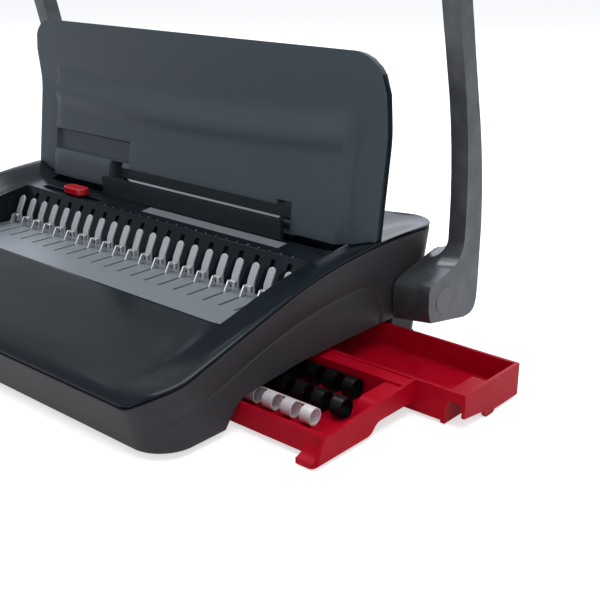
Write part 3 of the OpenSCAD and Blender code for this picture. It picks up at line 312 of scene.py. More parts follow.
def groundLines():
    # drawn or ground metal: fine lines along one axis
    tree, given, put = group("groundLines", [
        ("Vector", "v", None), ("Base", "c", (0.5, 0.5, 0.5, 1)), ("Tone", "f", 0.1),
        ("Roughness", "f", 0.3), ("Gloss drift", "f", 0.1), ("Lines", "f", 0.3)],
        [("Color", "c"), ("Roughness", "f"), ("Height", "f")])
    at = given["Vector"]
    streak = node(tree, "TexNoise", {"Scale": 60.0, "Detail": 5.0, "Roughness": 0.65}, _Vector=at)
    cloud = node(tree, "TexNoise", {"Scale": 3.0, "Detail": 3.0}, _Vector=at)
    drift = spread(tree, streak.outputs[0], 0.3, 0.7, -1.0, 1.0)
    cloudy = maths(tree, "MULTIPLY_ADD", cloud.outputs[0], 0.6, drift)
    gain = maths(tree, "ADD", maths(tree, "MULTIPLY", cloudy, given["Tone"]), 1.0)
    toned = node(tree, "VectorMath", {"operation": "SCALE"}, _0=given["Base"], _Scale=gain)
    gloss = maths(tree, "ADD", maths(tree, "MULTIPLY", drift, given["Gloss drift"]), given["Roughness"])
    tree.links.new(toned.outputs[0], put["Color"])
    tree.links.new(gloss, put["Roughness"])
    tree.links.new(maths(tree, "MULTIPLY", streak.outputs[0], given["Lines"]), put["Height"])
    return tree


def wearAndShineEdges():
    # a mask that is one where the surface turns sharply outwards; edges under it turn paler, partly as rubbed
    # wear and partly as a painted edge highlight
    tree, given, put = group("wearAndShineEdges", [("Vector", "v", None), ("Amount", "f", 0.5)], [("Mask", "f")])
    sharp = spread(tree, node(tree, "NewGeometry").outputs["Pointiness"], 0.53, 0.62)
    blotch = node(tree, "TexNoise", {"Scale": 70.0, "Detail": 4.0}, _Vector=given["Vector"])
    mask = maths(tree, "MULTIPLY", sharp, spread(tree, blotch.outputs[0], 0.4, 0.65))
    tree.links.new(maths(tree, "MULTIPLY", mask, given["Amount"]), put["Mask"])
    return tree


skin = mouldedSkin()
lines = groundLines()
wearAndShineGroup = wearAndShineEdges()


def shaderFor(name, kind, given, values, shader):
    # kind is the group that covers the surface, values are what it is given
    made = bpy.data.materials.new(name)
    made.use_nodes = True
    tree = made.node_tree
    tree.nodes.clear()
    where = node(tree, "TexCoord").outputs["Object"]
    spot = node(tree, "Mapping", {"Scale": given["stretch"]}, _Vector=where)
    cover = node(tree, "Group", {"node_tree": kind, **values}, _Vector=spot.outputs[0])
    # convex edges are mixed towards a paler colour: partly rubbed wear, partly a painted highlight along the
    # edges
    edgeWearAndShine = node(tree, "Group", {"node_tree": wearAndShineGroup, "Amount": given["edgeWearAndShine"]}, _Vector=where)
    wearAndShineMixed = node(tree, "Mix", {"data_type": "RGBA", 7: given["edgeWearAndShineTo"]}, _0=edgeWearAndShine.outputs["Mask"],
                  _6=cover.outputs["Color"])
    dents = node(tree, "Bump", {"Strength": given["bump"], "Distance": given["depth"]},
                 _Height=cover.outputs["Height"])
    if given["edge"]:
        soften = node(tree, "Bevel", {"samples": 4, "Radius": given["edge"]})
        tree.links.new(soften.outputs[0], dents.inputs["Normal"])
    main = node(tree, "BsdfPrincipled", shader, _Roughness=cover.outputs["Roughness"],
                _Normal=dents.outputs[0])
    tree.links.new(wearAndShineMixed.outputs[2], main.inputs["Base Color"])
    node(tree, "OutputMaterial", {}, _0=main.outputs[0])
    return made


def paler(colour, gain, lift):
    return tuple(min(1, c * gain + lift) for c in colour[:3]) + (1,)


# the edge amount and edge colour make convex edges paler: partly wear, partly a painted edge highlight
def plastic(name, colour, rough, grain, bump, tone, drift, dust, edgeWearAndShine, edgeWearAndShineTo=None, edge=0, specular=0.5,
            tint=(1, 1, 1, 1), **shader):
    given = {"stretch": (1, 1, 1), "bump": bump, "depth": 0.0001, "edgeWearAndShine": edgeWearAndShine, "edge": edge,
             "edgeWearAndShineTo": edgeWearAndShineTo or paler(colour, 1.8, 0.02)}
    values = {"Base": colour, "Tone": tone, "Roughness": rough, "Gloss drift": drift, "Grain size": grain,
              "Grain": 1.0, "Dust": dust}
    return shaderFor(name, skin, given, values,
                     {"Specular IOR Level": specular, "Specular Tint": tint, **shader})


# the edge amount and edge colour make convex edges paler: partly wear, partly a painted edge highlight
def metal(name, colour, rough, stretch, tone, drift, line, bump, edgeWearAndShine, edge=0, specular=0.5, metallic=1.0):
    given = {"stretch": stretch, "bump": bump, "depth": 0.00005, "edgeWearAndShine": edgeWearAndShine, "edge": edge,
             "edgeWearAndShineTo": paler(colour, 1.5, 0.05)}
    values = {"Base": colour, "Tone": tone, "Roughness": rough, "Gloss drift": drift, "Lines": line}
    return shaderFor(name, lines, given, values, {"Metallic": metallic, "Specular IOR Level": specular})


look = {
    "case": plastic("caseGrain", rgb(50, 49, 53), rough=0.52, grain=1400, bump=0.5, tone=0.04, drift=0.03,
                    dust=0.01, edgeWearAndShine=0.1, specular=0.18),
    "cover": plastic("coverGloss", rgb(21, 28, 34), rough=0.18, grain=500, bump=0.02, tone=0.08, drift=0.02,
                     dust=0.004, edgeWearAndShine=0.06, specular=0.09, tint=(0.72, 0.84, 1.0, 1)),
    "lid": plastic("lidSatin", rgb(68, 77, 84), rough=0.42, grain=1600, bump=0.25, tone=0.03, drift=0.03,
                   dust=0.01, edgeWearAndShine=0.1, specular=0.15),
    "trim": plastic("stripGrey", rgb(118, 122, 128), rough=0.4, grain=1200, bump=0.2, tone=0.04, drift=0.03,
                    dust=0.01, edgeWearAndShine=0.1, specular=0.3),
    "fence": plastic("fenceDark", rgb(30, 36, 42), rough=0.34, grain=1100, bump=0.1, tone=0.04, drift=0.03,
                     dust=0.004, edgeWearAndShine=0.1, specular=0.12),
    # the lighter red given for the tray's edges is partly wear and partly a painted edge highlight
    "red": plastic("trayRed", rgb(168, 2, 29), rough=0.42, grain=1300, bump=0.2, tone=0.02, drift=0.03,
                   dust=0.0, edgeWearAndShine=0.12, edgeWearAndShineTo=rgb(206, 40, 62), specular=0.08, tint=(1.0, 0.6, 0.65, 1)),
    "knob": plastic("knobRed", rgb(186, 6, 28), rough=0.2, grain=900, bump=0.05, tone=0.03, drift=0.02,
                    dust=0.0, edgeWearAndShine=0.1, edgeWearAndShineTo=rgb(220, 50, 70)),
    "ringWhite": plastic("ringWhite", rgb(222, 219, 222), rough=0.3, grain=900, bump=0.1, tone=0.03,
                         drift=0.03, dust=0.0, edgeWearAndShine=0.1, edgeWearAndShineTo=rgb(245, 245, 245),
                         **{"Subsurface Weight": 0.3, "Subsurface Scale": 0.002}),
    "ringBlack": plastic("ringBlack", rgb(9, 10, 12), rough=0.34, grain=900, bump=0.1, tone=0.1, drift=0.03,
                         dust=0.0, edgeWearAndShine=0.05, specular=0.15),
    "rubber": plastic("footRubber", rgb(24, 24, 25), rough=0.7, grain=700, bump=0.4, tone=0.08, drift=0.05,
                      dust=0.05, edgeWearAndShine=0.2),
    "grip": plastic("gripRubber", rgb(34, 35, 37), rough=0.58, grain=1500, bump=0.5, tone=0.06, drift=0.05,
                    dust=0.03, edgeWearAndShine=0.3),
    "nylon": plastic("bareNylon", rgb(222, 221, 210), rough=0.4, grain=600, bump=0.1, tone=0.04, drift=0.03,
                     dust=0.02, edgeWearAndShine=0.1, edge=0.0004),
    "paint": plastic("markPaint", rgb(190, 196, 202), rough=0.5, grain=900, bump=0.05, tone=0.1, drift=0.05,
                     dust=0.0, edgeWearAndShine=0.0),
    "silver": metal("handleLacquer", rgb(76, 79, 83), rough=0.22, stretch=(500, 500, 500), tone=0.03,
                    drift=0.02, line=0.5, bump=0.06, edgeWearAndShine=0.3, specular=0.1, metallic=0.35),
    "cap": metal("capLacquer", rgb(90, 93, 96), rough=0.34, stretch=(500, 500, 500), tone=0.04, drift=0.03,
                 line=0.5, bump=0.1, edgeWearAndShine=0.2, specular=0.1, metallic=0.35),
    "plate": metal("platePaint", rgb(120, 127, 135), rough=0.46, stretch=(6, 90, 90), tone=0.06, drift=0.05,
                   line=0.6, bump=0.12, edgeWearAndShine=0.2, edge=0.0003, metallic=0.2),
    "tine": metal("tinePaint", rgb(176, 180, 185), rough=0.36, stretch=(90, 6, 30), tone=0.05, drift=0.05,
                  line=0.6, bump=0.1, edgeWearAndShine=0.2, metallic=0.3),
    "hook": metal("hookPlate", rgb(214, 217, 221), rough=0.24, stretch=(90, 30, 30), tone=0.06, drift=0.05,
                  line=0.6, bump=0.1, edgeWearAndShine=0.2, metallic=0.75),
    "steel": metal("groundSteel", rgb(176, 179, 184), rough=0.26, stretch=(3, 90, 90), tone=0.12, drift=0.08,
                   line=1.0, bump=0.25, edgeWearAndShine=0.3, edge=0.0003),
    "zinc": metal("zincPlate", rgb(156, 160, 166), rough=0.36, stretch=(30, 30, 30), tone=0.16, drift=0.1,
                  line=0.8, bump=0.2, edgeWearAndShine=0.3, edge=0.0004),
    "bronze": metal("sinterBronze", rgb(168, 130, 78), rough=0.42, stretch=(120, 120, 120), tone=0.16,
                    drift=0.08, line=1.0, bump=0.3, edgeWearAndShine=0.2, edge=0.0003),
    "screw": metal("blackScrew", rgb(48, 50, 54), rough=0.36, stretch=(90, 90, 90), tone=0.12, drift=0.06,
                   line=0.8, bump=0.2, edgeWearAndShine=0.4, edge=0.0003),
}
print("finishes ready:", len(look))


# lower body

shell = {"half": 180, "front": -130, "rear": 133, "foot": 4, "top": 79, "wall": 2.6, "gap": 1.4,
         "frontLean": 4, "leanBelow": 28, "rearLean": 25,
         "frontCorner": 28, "footCorner": 22, "rearCorner": 22, "rearFootCorner": 11,
         "cove": 1.7, "coveReach": 12.5,        # hollow above the crease
         "panelIn": 0.9, "panelReach": 22,      # set back below it
         "ledge": 0.1, "seamRound": 0.9, "fadeFront": (-142, -112), "fadeRear": (74.5, 76)}
wallSteps = {"front": 16, "frontCorner": 20, "side": 150, "rearCorner": 9, "rear": 12}
cornerX = shell["half"] - shell["frontCorner"]
cornerY = shell["front"] + shell["frontCorner"]
seamLine = (curve4((-130, 28), (-127, 36), (-118, 38.8), (-108, 41.5))
            + curve4((-20, 67), (8, 74.5), (40, 79), (91, 79), 20) + [(133, 78)])
creaseLine = (curve4((-160, 8), (-140, 15), (-118, 19), (-100, 24.6), 14)
              + curve4((-90, 27.2), (-62, 35), (-36, 45.5), (0, 50.8), 20)
              + curve4((8, 51.8), (24, 53.8), (40, 54.6), (52, 53), 10)
              + curve4((54, 52.6), (66, 48), (70, 41), (73.5, 28), 10) + [(75.5, 4), (76, -4)])


def wallRing(z, inset):
    # plan outline of the wall at one height, right half from front to rear, then the left half back;
    # a spot is x, y and the way that it faces
    s, n = shell, wallSteps
    tall = s["top"] - s["foot"]
    lean = min(1, max(0, (s["leanBelow"] - z) / (s["leanBelow"] - s["foot"])))
    up = min(1, max(0, (z - s["foot"]) / tall))
    front = s["front"] + s["frontLean"] * lean + inset
    rear = s["rear"] - s["rearLean"] * (s["top"] - z) / tall - inset
    frontRound = s["frontCorner"] - (s["frontCorner"] - s["footCorner"]) * lean - inset
    rearRound = s["rearFootCorner"] + (s["rearCorner"] - s["rearFootCorner"]) * up - inset
    x = s["half"] - inset

    def corner(r, y, low, high, count):
        turns = [math.radians(a) for a in steps(low, count, high)[1:]]
        return [(x - r + r * math.cos(a), y + r * math.sin(a), math.cos(a), math.sin(a)) for a in turns]

    ring = [(t, front, 0, -1) for t in steps(0, n["front"], x - frontRound)]
    ring += corner(frontRound, front + frontRound, -90, 0, n["frontCorner"])
    ring += [(x, t, 1, 0) for t in steps(front + frontRound, n["side"], rear - rearRound)[1:]]
    ring += corner(rearRound, rear - rearRound, 0, 90, n["rearCorner"])
    ring += [(t, rear, 0, 1) for t in steps(x - rearRound, n["rear"], 0)[1:]]
    return ring + [(-p[0], p[1], -p[2], p[3]) for p in reversed(ring[:-1])]


# the deck's heights come first, because the wall ends just below it

deck = {"slotX": 150.5, "recessFront": -52, "recessRear": 28, "recessFloor": 44.7,
        "slotFront": 50.6, "slotRear": 65, "slotDeep": 5,
        "knobLeft": -137.5, "knobRight": -68.5, "knobFront": 33.0, "knobRear": 38.0,
        "flatTo": 144, "riseTo": 184, "riseGain": 1.06,         # half widths between which the sides rise
        "edge": 1.1, "roll": 1.2, "rim": 0.7, "thick": 1.8,
        "lip": [(2.8, 1.0), (2.8, -4.0), (3.6, -4.0), (3.6, 1.0)]}      # inset, height over the seam
crownLine = (curve4((-130, 30.5), (-129, 34.6), (-123, 36.6), (-112, 39.3), 16)
             + [(-90, 43.9)] + curve4((-70, 48.6), (-60, 50.9), (-48, 53.2), (-40, 55.4), 8)
             + curve4((-30, 58), (-8, 64.2), (8, 67.2), (28, 69.4), 12)
             + [(40, 70.6), (50.6, 71.5), (65, 72.6), (82, 74.4), (100, 76), (120, 77.4), (133, 78.4)])


def halfAt(y):
    # half width of the body at one depth
    s = shell
    if y < cornerY:
        return cornerX + math.sqrt(max(0, s["frontCorner"] ** 2 - (y - cornerY) ** 2))
    r = s["rearCorner"]
    if y > s["rear"] - r:
        return s["half"] - r + math.sqrt(max(0, r ** 2 - (y - s["rear"] + r) ** 2))
    return s["half"]


def coverTop(x, y):
    # the crown in the middle, carried over to the height of the rim at the sides
    wide = abs(x) * shell["half"] / halfAt(y)
    side = alongLine(seamLine, y) + shell["gap"] + deck["edge"]
    low = alongLine(crownLine, y)
    rise = soft(deck["flatTo"], deck["riseTo"], wide) * deck["riseGain"]
    return low + (side - low) * min(1, rise)


ringNow = {}  # outlines of the wall, by height and inset


def wallSpot(k, z, inset):
    key = (round(z, 3), inset)
    if key not in ringNow:
        ringNow[key] = wallRing(z, inset)
    return ringNow[key][k]


def alongWall(p):
    # depth along the side, carried on round the front corner
    if p[1] > cornerY:
        return p[1]
    return cornerY - shell["frontCorner"] * math.atan2(cornerY - p[1], max(0.001, abs(p[0]) - cornerX))


topRing = wallRing(shell["top"], 0)
ringCount = len(topRing)
underDeck = shell["gap"] + deck["edge"]
seamAt = [min(alongLine(seamLine, p[1]), coverTop(p[0], p[1]) - underDeck) for p in topRing]
sideRun = [alongWall(p) for p in topRing]


def creaseOf(k):
    return max(shell["foot"] + 0.6, alongLine(creaseLine, sideRun[k]))


def bodyWall():
    # a row is its inset, its height (0 foot, 1 crease, 2 seam) and a lift: down the inside, round the
    # foot, up to the crease, on to the seam and back in over it
    bm = bmesh.new()
    s = shell
    w = s["wall"]
    rows = [(w, "top", 0), (w, 0.5, 0), (w, 0, 0), (1.2, 0, 0), (0.4, 0, 0.35)]
    rows += [(0, f, 0) for f in steps(0.04, 18, 1)]
    rows += [(0, 1 + f, 0) for f in steps(0, 26, 1)]
    rows += [(0.25, 2, 0.65), (s["seamRound"], 2, s["seamRound"]), (w, "top", 0)]

    def place(k, row):
        inset, share, up = rows[row]
        crease, seam = creaseOf(k), seamAt[k] - s["seamRound"]
        if share == "top":
            z = seamAt[k]
        elif share <= 1:
            z = s["foot"] + share * (crease - s["ledge"] - s["foot"]) + up
        else:
            z = crease + (share - 1) * (seam - crease) + up
        fade = soft(*s["fadeFront"], sideRun[k]) * (1 - soft(*s["fadeRear"], sideRun[k]))
        if inset == 0 and share <= 1:
            hollow = s["panelIn"] * (1 - soft(0, s["panelReach"], crease - z)) * soft(0, 0.3, share)
        elif inset == 0:
            hollow = s["cove"] * max(0, 1 - (z - crease) / s["coveReach"]) ** 2
        else:
            hollow = 0
        p = wallSpot(k, z, inset)
        return Vector((p[0] - p[2] * hollow * fade, p[1] - p[3] * hollow * fade, z))

    made = patch(bm, list(range(ringCount)), list(range(len(rows))), place)
    bmesh.ops.remove_doubles(bm, verts=made, dist=0.01)
    return bm


# the tray's mouth, with its upper edge as y and z, and the drive shaft's hole
mouth = {"front": -79, "rear": 78, "bottom": -2, "inner": 160, "outer": 186}
mouthTop = (curve4((-79, 4), (-75.1, 9), (-70, 19.4), (-60, 20.2), 10)
            + [(-15, 24.7), (30, 25.2), (78, 25.2)])
shaftHole = {"y": 87.5, "z": 43.1, "radius": 9, "long": 380}


def mouthCutter():
    bm = bmesh.new()
    outline = [(mouth["front"], mouth["bottom"])] + mouthTop + [(mouth["rear"], mouth["bottom"])]
    push(bm, outline, mouth["inner"], mouth["outer"])
    return bm


def shaftCutter():
    bm = bmesh.new()
    h = shaftHole
    across = Matrix.Translation((0, h["y"], h["z"])) @ Matrix.Rotation(math.radians(90), 4, "Y")
    bmesh.ops.create_cone(bm, cap_ends=True, segments=48, radius1=h["radius"], radius2=h["radius"],
                          depth=h["long"], matrix=across)
    return bm


wall = keep(bodyWall(), "bodyWall", look["case"], "chassis", ["lower_body"], crease=50,
            weighted=False)
cutAway(wall, mouthCutter())
cutAway(wall, shaftCutter())
print("body wall done")


# top cover

def coverSheet():
    bm = bmesh.new()
    d, s = deck, shell
    halfX = steps(0, 5, -d["knobRight"], 7, -d["knobLeft"], 2, d["slotX"], 9, 176, 1, s["half"])
    xs = [-x for x in reversed(halfX[1:])] + halfX
    ys = steps(s["front"], 3, -127.5, 3, -122, 6, -104, 22, d["recessFront"], 30, d["recessRear"], 2,
               d["knobFront"], 2, d["knobRear"], 4, d["slotFront"], 4, d["slotRear"], 14, 111, 4, 119,
               5, 127, 4, 131, 3, s["rear"])
    holes = [(-d["slotX"], d["slotX"], d["recessFront"], d["recessRear"]),
             (-d["slotX"], d["slotX"], d["slotFront"], d["slotRear"]),
             (d["knobLeft"], d["knobRight"], d["knobFront"], d["knobRear"])]

    def place(x, y):
        px = x * halfAt(y) / s["half"]
        return Vector((px, y, coverTop(px, y)))

    def inHole(c):
        return any(h[0] < c.x < h[1] and h[2] < c.y < h[3] for h in holes)

    def nearHoles(x, y):
        return abs(x) < d["slotX"] + 0.5 and d["recessFront"] - 1 < y < d["slotRear"] + 1

    def lipSpot(k, r):
        inset, up = d["lip"][r]
        p = wallSpot(k, s["top"], inset)
        return Vector((p[0], p[1], seamAt[k] + up))

    patch(bm, xs, ys, place)
    bmesh.ops.delete(bm, geom=[f for f in bm.faces if inHole(f.calc_center_median())], context="FACES")
    down = bmesh.ops.extrude_edge_only(bm, edges=openEdges(bm))["geom"]
    for v in vertsIn(down):
        x, y, z = v.co
        if nearHoles(x, y) and y < d["recessRear"] - 0.5:
            v.co.z = d["recessFloor"]
        elif nearHoles(x, y):
            v.co.z = z - d["slotDeep"]
        else:
            v.co.z = z - d["edge"]
    bmesh.ops.recalc_face_normals(bm, faces=bm.faces)
    outer, inner = [], []
    for e in sharpEdges(bm, 35):
        low, high = sorted(v.co.z for v in e.verts)
        c = (e.verts[0].co + e.verts[1].co) / 2
        if nearHoles(c.x, c.y):
            if high - low < 4:  # the holes' own corners stay sharp
                inner.append(e)
        elif low > alongLine(seamLine, c.y) + 1.5 or abs(c.x) < d["slotX"] + 0.5:
            outer.append(e)
    roundOff(bm, outer, d["roll"], 4)
    roundOff(bm, [e for e in inner if e.is_valid], d["rim"], 3)
    # lip that locates the cover inside the body
    lip = patch(bm, list(range(ringCount)), list(range(len(d["lip"]))), lipSpot)
    bmesh.ops.remove_doubles(bm, verts=lip, dist=0.01)
    # the sheet is open below, so its outer side is told by the deck, which faces up
    bmesh.ops.recalc_face_normals(bm, faces=bm.faces)
    if sum(f.normal.z * f.calc_area() for f in bm.faces) < 0:
        bmesh.ops.reverse_faces(bm, faces=bm.faces)
    return bm


cover = keep(coverSheet(), "topCover", look["cover"], "chassis", ["top_cover"], crease=40,
             turn=False, weighted=False)
thick = cover.modifiers.new("wall", "SOLIDIFY")
thick.thickness, thick.offset = deck["thick"] * mm, -1
print("cover done")


# comb works

row = {"count": 21, "pitch": 14.2875}
tine = {"wide": 6.0, "thick": 1.6, "foot": 44.0, "knee": 53.0, "lean": 27.5, "tip": 65.0, "y": 11.0,
        "bend": 1.6, "round": 0.42}
hook = {"thick": 1.2, "x": -1.8,        # x is the middle of the stem, beside its tine
        "foldFront": 6.9, "foldRear": 9.6, "round": 0.28,
        "stem": [(2.9, 41.0), (7.6, 41.0), (7.6, 43.5), (7.4, 45.5), (10.1, 51.0), (9.9, 51.5), (9.4, 51.8),
                 (7.4, 51.8), (6.6, 51.2), (2.9, 45.0)],
        "top": 51.8, "under": 50.6,
        "flange": [(3.2, 51.8), (3.9, 51.4), (4.0, 50.8), (4.0, 47.0), (3.6, 46.7), (2.9, 47.0),
                   (2.8, 50.2), (2.5, 50.6)]}


def alongRow(bm):
    # repeats one piece along the row, which is centred on the machine
    one = bm.verts[:] + bm.edges[:] + bm.faces[:]
    for i in range(1, row["count"]):
        more = bmesh.ops.duplicate(bm, geom=one)["geom"]
        bmesh.ops.translate(bm, vec=(i * row["pitch"], 0, 0), verts=vertsIn(more))
    first = -(row["count"] - 1) / 2 * row["pitch"]
    bmesh.ops.translate(bm, vec=(first, 0, 0), verts=bm.verts)
    return bm


def tines():
    bm = bmesh.new()
    t = tine
    w = t["wide"] / 2
    top = t["knee"] + (t["tip"] - t["knee"]) / math.cos(math.radians(t["lean"])) - w
    side = [(w, t["foot"]), (w, t["knee"] - 1.5), (w, t["knee"] + 1.5), (w, top)]
    tip = [(w * math.cos(math.radians(a)), top + w * math.sin(math.radians(a))) for a in range(20, 180, 20)]
    outline = side + tip + [(-p[0], p[1]) for p in reversed(side)]
    push(bm, outline, t["y"], t["y"] + t["thick"], "y")
    edges = [e for e in bm.edges if abs(e.verts[0].co.y - e.verts[1].co.y) < 0.01]
    roundOff(bm, edges, t["round"], 3)
    for v in bm.verts:
        if v.co.z > t["knee"] - t["bend"]:
            turn = soft(t["knee"] - t["bend"], t["knee"] + t["bend"], v.co.z) * math.radians(t["lean"])
            p = Vector((0, v.co.y - t["y"], v.co.z - t["knee"]))
            p.rotate(Matrix.Rotation(-turn, 3, "X"))
            v.co.y, v.co.z = t["y"] + p.y, t["knee"] + p.z
    return alongRow(bm)


def hooks():
    bm = bmesh.new()
    h = hook
    x, half = h["x"], h["thick"] / 2
    push(bm, h["stem"], x - half, x + half)
    # folded top and its curled flange
    fold = [(x - half, h["top"])] + h["flange"] + [(x, h["under"])]
    push(bm, fold, h["foldFront"], h["foldRear"], "y")
    bmesh.ops.recalc_face_normals(bm, faces=bm.faces)
    roundOff(bm, sharpEdges(bm, 40), h["round"], 2)
    return alongRow(bm)


keep(tines(), "combTines", look["tine"], "chassis", ["comb_tines"])
keep(hooks(), "openingHooks", look["hook"], "hook_carriage", ["comb_hooks"])
print("comb row done")


# lid; it is drawn flat, x across and u up from the hinge, and then stands up with v to the front

lid = {"half": 178, "length": 118, "corner": 24, "lean": 7.9, "y": 58.5, "z": 79.5,
       "footFrom": 12, "topFrom": 76,           # between these two the rows lie level
       "foot": [(0, -4.5), (150, -4.5), (158, -3.6), (165, -1.4), (172, 0.9), (178, 1.8)],
       "rim": -1.5, "panel": 5.0, "rimWide": (24.2, 29.5), "back": -9.7, "backRound": 2.4, "backReach": 26,
       "fold": 62, "foldAngle": 13, "foldRound": 9, "foldDown": 3, "arch": 9,
       "band": 2.4, "bandDip": 1.2, "bandFrom": 17, "bandTo": 5, "panelEnd": 16,
       "fenceLeft": -78.7, "fenceRight": 111, "cut": 12.9, "cutBehind": 14.4,
       "notchLeft": -64.5, "notchRight": 97.5, "notchUp": 16.4,
       "skinFoot": 2.5, "skinHigh": 14, "skinBack": -7.5, "skinThick": 2.1, "skinOver": 0.5}
pocket = {"left": -150, "right": -56, "low": 16.0, "high": 33.5, "floor": -0.9}


def lidFoot(x):
    # height of the lower edge
    return alongLine(lid["foot"], abs(x))


def lidTop(x):
    # height of the upper edge, round at its corners
    over = abs(x) - (lid["half"] - lid["corner"])
    if over <= 0:
        return lid["length"]
    return lid["length"] - lid["corner"] + math.sqrt(max(0, lid["corner"] ** 2 - over ** 2))


def lidArch(x):
    return lid["arch"] * (x / lid["half"]) ** 2


def lidLean(x, u):
    # the fold runs in an arch and is softly rounded
    d = u - (lid["fold"] - lid["foldDown"] + lidArch(x))
    r = lid["foldRound"]
    run = 0 if d < -r else (d if d > r else (d + r) ** 2 / (4 * r))
    return run * math.tan(math.radians(lid["foldAngle"]))


def lidSpot(x, u, v):
    a = math.radians(lid["lean"])
    y = -v - lidLean(x, u)
    c, s = math.cos(a), math.sin(a)
    return Vector((x, lid["y"] + y * c + u * s, lid["z"] - y * s + u * c))


def lidShell():
    bm = bmesh.new()
    d, p = lid, pocket
    xs = steps(-d["half"], 2, -172, 3, -155, 3, p["left"] - 1, 4, p["left"] + 1, 10, d["fenceLeft"], 3,
               d["notchLeft"], 1, p["right"] - 1.6, 5, p["right"], 16, d["notchRight"], 2, d["fenceRight"],
               6, 146, 3, 150, 4, 155, 3, 172, 2, d["half"])
    us = steps(0, 4, d["cut"], 1, d["notchUp"], 3, p["low"] + 1.4, 8, p["high"] - 1.6, 4, p["high"],
               6, 48, 14, d["topFrom"], 16, 112, 3, d["length"])
    tag = bm.verts.layers.float_vector.new("flatSpot")

    def height(x, u):
        if u < d["footFrom"]:
            return lidFoot(x) + (d["footFrom"] - lidFoot(x)) * u / d["footFrom"]
        if u < d["topFrom"]:
            return u
        return d["topFrom"] + (u - d["topFrom"]) / (d["length"] - d["topFrom"]) * (lidTop(x) - d["topFrom"])

    def inner(x, u):
        h = height(x, u)
        up = h - lidArch(x)
        bulge = d["band"] * soft(d["fold"] - d["bandFrom"], d["fold"] - d["bandTo"], up)
        bulge -= d["bandDip"] * soft(d["footFrom"], d["fold"] - d["bandFrom"], up)
        v = d["rim"] + (d["panel"] + bulge - d["rim"]) * soft(*d["rimWide"], d["half"] - abs(x))
        v = v + (d["rim"] - v) * soft(d["fold"] - d["bandTo"], d["fold"] + d["panelEnd"], up)
        sunk = (soft(p["left"] - 0.6, p["left"] + 0.8, x) * soft(-p["right"], -p["right"] + 1.6, -x)
                * soft(p["low"] - 0.1, p["low"] + 1.4, h) * soft(-p["high"], -p["high"] + 1.6, -h))
        return lidSpot(x, h, v + (p["floor"] - v) * sunk)

    def outer(x, u):
        h = height(x, u)
        edge = min(d["half"] - abs(x), lidTop(x) - h + 1)
        if d["fenceLeft"] <= x <= d["fenceRight"] and abs(u - d["cut"]) < 0.01:
            h = d["cutBehind"]
        return lidSpot(x, h, d["back"] + d["backRound"] * (1 - soft(0, d["backReach"], edge)) ** 2)

    def isCut(f):
        # the fence's place, a little higher at its two ends
        c = sum((v[tag] for v in f.verts), Vector()) / len(f.verts)
        inNotch = d["fenceLeft"] < c.x < d["notchLeft"] or d["notchRight"] < c.x < d["fenceRight"]
        return (d["fenceLeft"] < c.x < d["fenceRight"] and c.y < d["cut"]) or (inNotch and c.y < d["notchUp"])

    for side in (inner, outer):
        for v in patch(bm, xs, us, lambda x, u: Vector((x, u, 0))):
            x, u = v.co.x, v.co.y
            v[tag] = (x, u, 0)
            v.co = side(x, u)
    bmesh.ops.delete(bm, geom=[f for f in bm.faces if isCut(f)], context="FACES")
    bmesh.ops.bridge_loops(bm, edges=openEdges(bm))
    bmesh.ops.recalc_face_normals(bm, faces=bm.faces)
    roundOff(bm, sharpEdges(bm, 50), 1.1, 3)
    # outer skin carried on below the cut-out
    skin = bmesh.ops.create_cube(bm, size=1)["verts"]
    bmesh.ops.scale(bm, vec=(d["fenceRight"] - d["fenceLeft"] + d["skinOver"], d["skinHigh"], d["skinThick"]),
                    verts=skin)
    middle = ((d["fenceLeft"] + d["fenceRight"]) / 2, d["skinFoot"] + d["skinHigh"] / 2,
              d["skinBack"] - d["skinThick"] / 2)
    for v in skin:
        v.co = lidSpot(v.co.x + middle[0], v.co.y + middle[1], v.co.z + middle[2])
    return bm


lidPiece = keep(lidShell(), "lidShell", look["lid"], "lid", ["lid_shell", "lid_panel"], crease=42,
                weighted=False)
# back and outer edges have the cover's finish
lidPiece.data.materials.append(look["cover"])
backward = Vector((0, math.cos(math.radians(lid["lean"])), -math.sin(math.radians(lid["lean"]))))
for f in lidPiece.data.polygons:
    atEdge = abs(f.normal.x) > 0.75 and abs(f.center.x) > (lid["half"] - 2) * mm
    if f.normal.dot(backward) > 0.35 or atEdge:
        f.material_index = 1
print("lid done")


# size marks printed on the deck

marks = {"first": -56, "last": 134, "gap": 10, "y": 30.0, "short": 0.9, "long": 1.9, "wide": 0.5,
         "high": 0.06}


def sizeMarks():
    bm = bmesh.new()
    for i, x in enumerate(range(marks["first"], marks["last"] + 1, marks["gap"])):
        deep = marks["short"] if i % 5 else marks["long"]
        y = marks["y"] + deep / 2
        made = bmesh.ops.create_cube(bm, size=1)["verts"]
        bmesh.ops.scale(bm, vec=(marks["wide"], deep, marks["high"]), verts=made)
        bmesh.ops.translate(bm, vec=(x, y, coverTop(x, y)), verts=made)
    return bm


keep(sizeMarks(), "sizeMarks", look["paint"], "chassis", (), crease=20)


# solids that get rounded edges: piece, finish, body, node, size of the round, its rows, slot

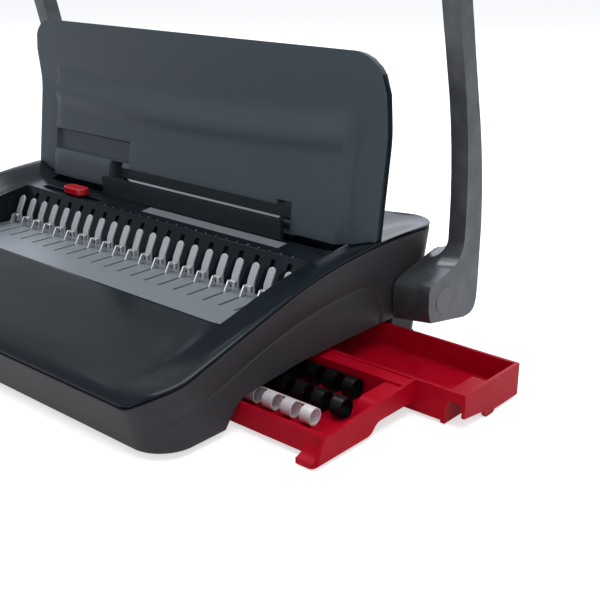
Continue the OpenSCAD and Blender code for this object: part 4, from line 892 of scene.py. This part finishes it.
rounded = [
    ("tray", "red", "tray", "tray", 0.55, 3, "tray_red"),
    ("armRight", "silver", "handle", "handle_arm_right", 0.9, 3, "handle"),
    ("armLeft", "silver", "handle", "handle_arm_left", 0.9, 3, "handle"),
    ("capRight", "cap", "handle", "pivot_cap_right", 0.6, 3, "cap"),
    ("capLeft", "cap", "handle", "pivot_cap_left", 0.6, 3, "cap"),
    ("fence", "fence", "chassis", "paper_fence", 0.5, 2, "fence"),
    ("strip", "trim", "chassis", "guide_strip", 0.3, 2, "trim"),
    ("knob", "knob", "edge_guide", "edge_knob", 1.9, 5, "knob_red"),
    ("lugs", "fence", "chassis", "hinge_lugs", 0.5, 2, "cover"),
    ("recessBack", "cover", "chassis", "recess_back", 0.4, 2, "cover"),
]
for piece, finish, body, name, size, rows, slot in rounded:
    dressed(piece, finish, body, name, size, rows)

# solids that only get a finish

plain = {
    "steel": ["rack_rod_right", "rack_rod_left", "die_plate", "stripper_plate", "drive_shaft", "hinge_pins",
              "edge_stop", "punch_pins", "return_springs"],
    "zinc": ["front_bracket", "cross_rail", "hook_bar", "die_spacers", "paper_stop", "die_mounts",
             "side_frame_right", "side_frame_left", "grip_bar", "tray_bed", "pressure_bar", "pin_keeper",
             "cam_right", "cam_left"],
    "bronze": ["shaft_bush_right", "shaft_bush_left", "pinion_right", "pinion_left"],
    "screw": ["die_bolts", "frame_screws", "case_screws"],
    "plate": ["guide_plate", "comb_plate"],
    "case": ["base_pan"],
    "rubber": ["rubber_feet"],
    "grip": ["grip_sleeve"],
    "nylon": ["rod_guides"],
    "ringWhite": ["comb_white"],
    "ringBlack": ["comb_black_front", "comb_black_rear"],
}
for finish, names in plain.items():
    for name in names:
        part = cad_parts[name]
        part.data.materials.clear()
        part.data.materials.append(look[finish])
print("other solids done")


# floor

ground = {"half": 6, "z": -0.0002, "paper": (0.86, 0.86, 0.86, 1), "shine": (1, 1, 1, 1), "strength": 0.6}


def paleFloor():
    # keeps the shadow of the object and looks nearly white to the camera
    made = bpy.data.materials.new("paleFloor")
    made.use_nodes = True
    tree = made.node_tree
    tree.nodes.clear()
    paper = node(tree, "BsdfDiffuse", {"Color": ground["paper"]})
    shine = node(tree, "Emission", {"Color": ground["shine"], "Strength": ground["strength"]})
    both = node(tree, "AddShader", {}, _0=paper.outputs[0], _1=shine.outputs[0])
    chosen = node(tree, "MixShader", {}, _0=lookedAt(tree), _1=paper.outputs[0], _2=both.outputs[0])
    node(tree, "OutputMaterial", {}, _0=chosen.outputs[0])
    return made


bm = bmesh.new()
bmesh.ops.create_grid(bm, x_segments=1, y_segments=1, size=ground["half"])
sheet = bpy.data.meshes.new("floor")
bm.to_mesh(sheet)
bm.free()
sheet.materials.append(paleFloor())
floor = bpy.data.objects.new("floor", sheet)
floor.location = (0, 0, ground["z"])
scene.collection.objects.link(floor)
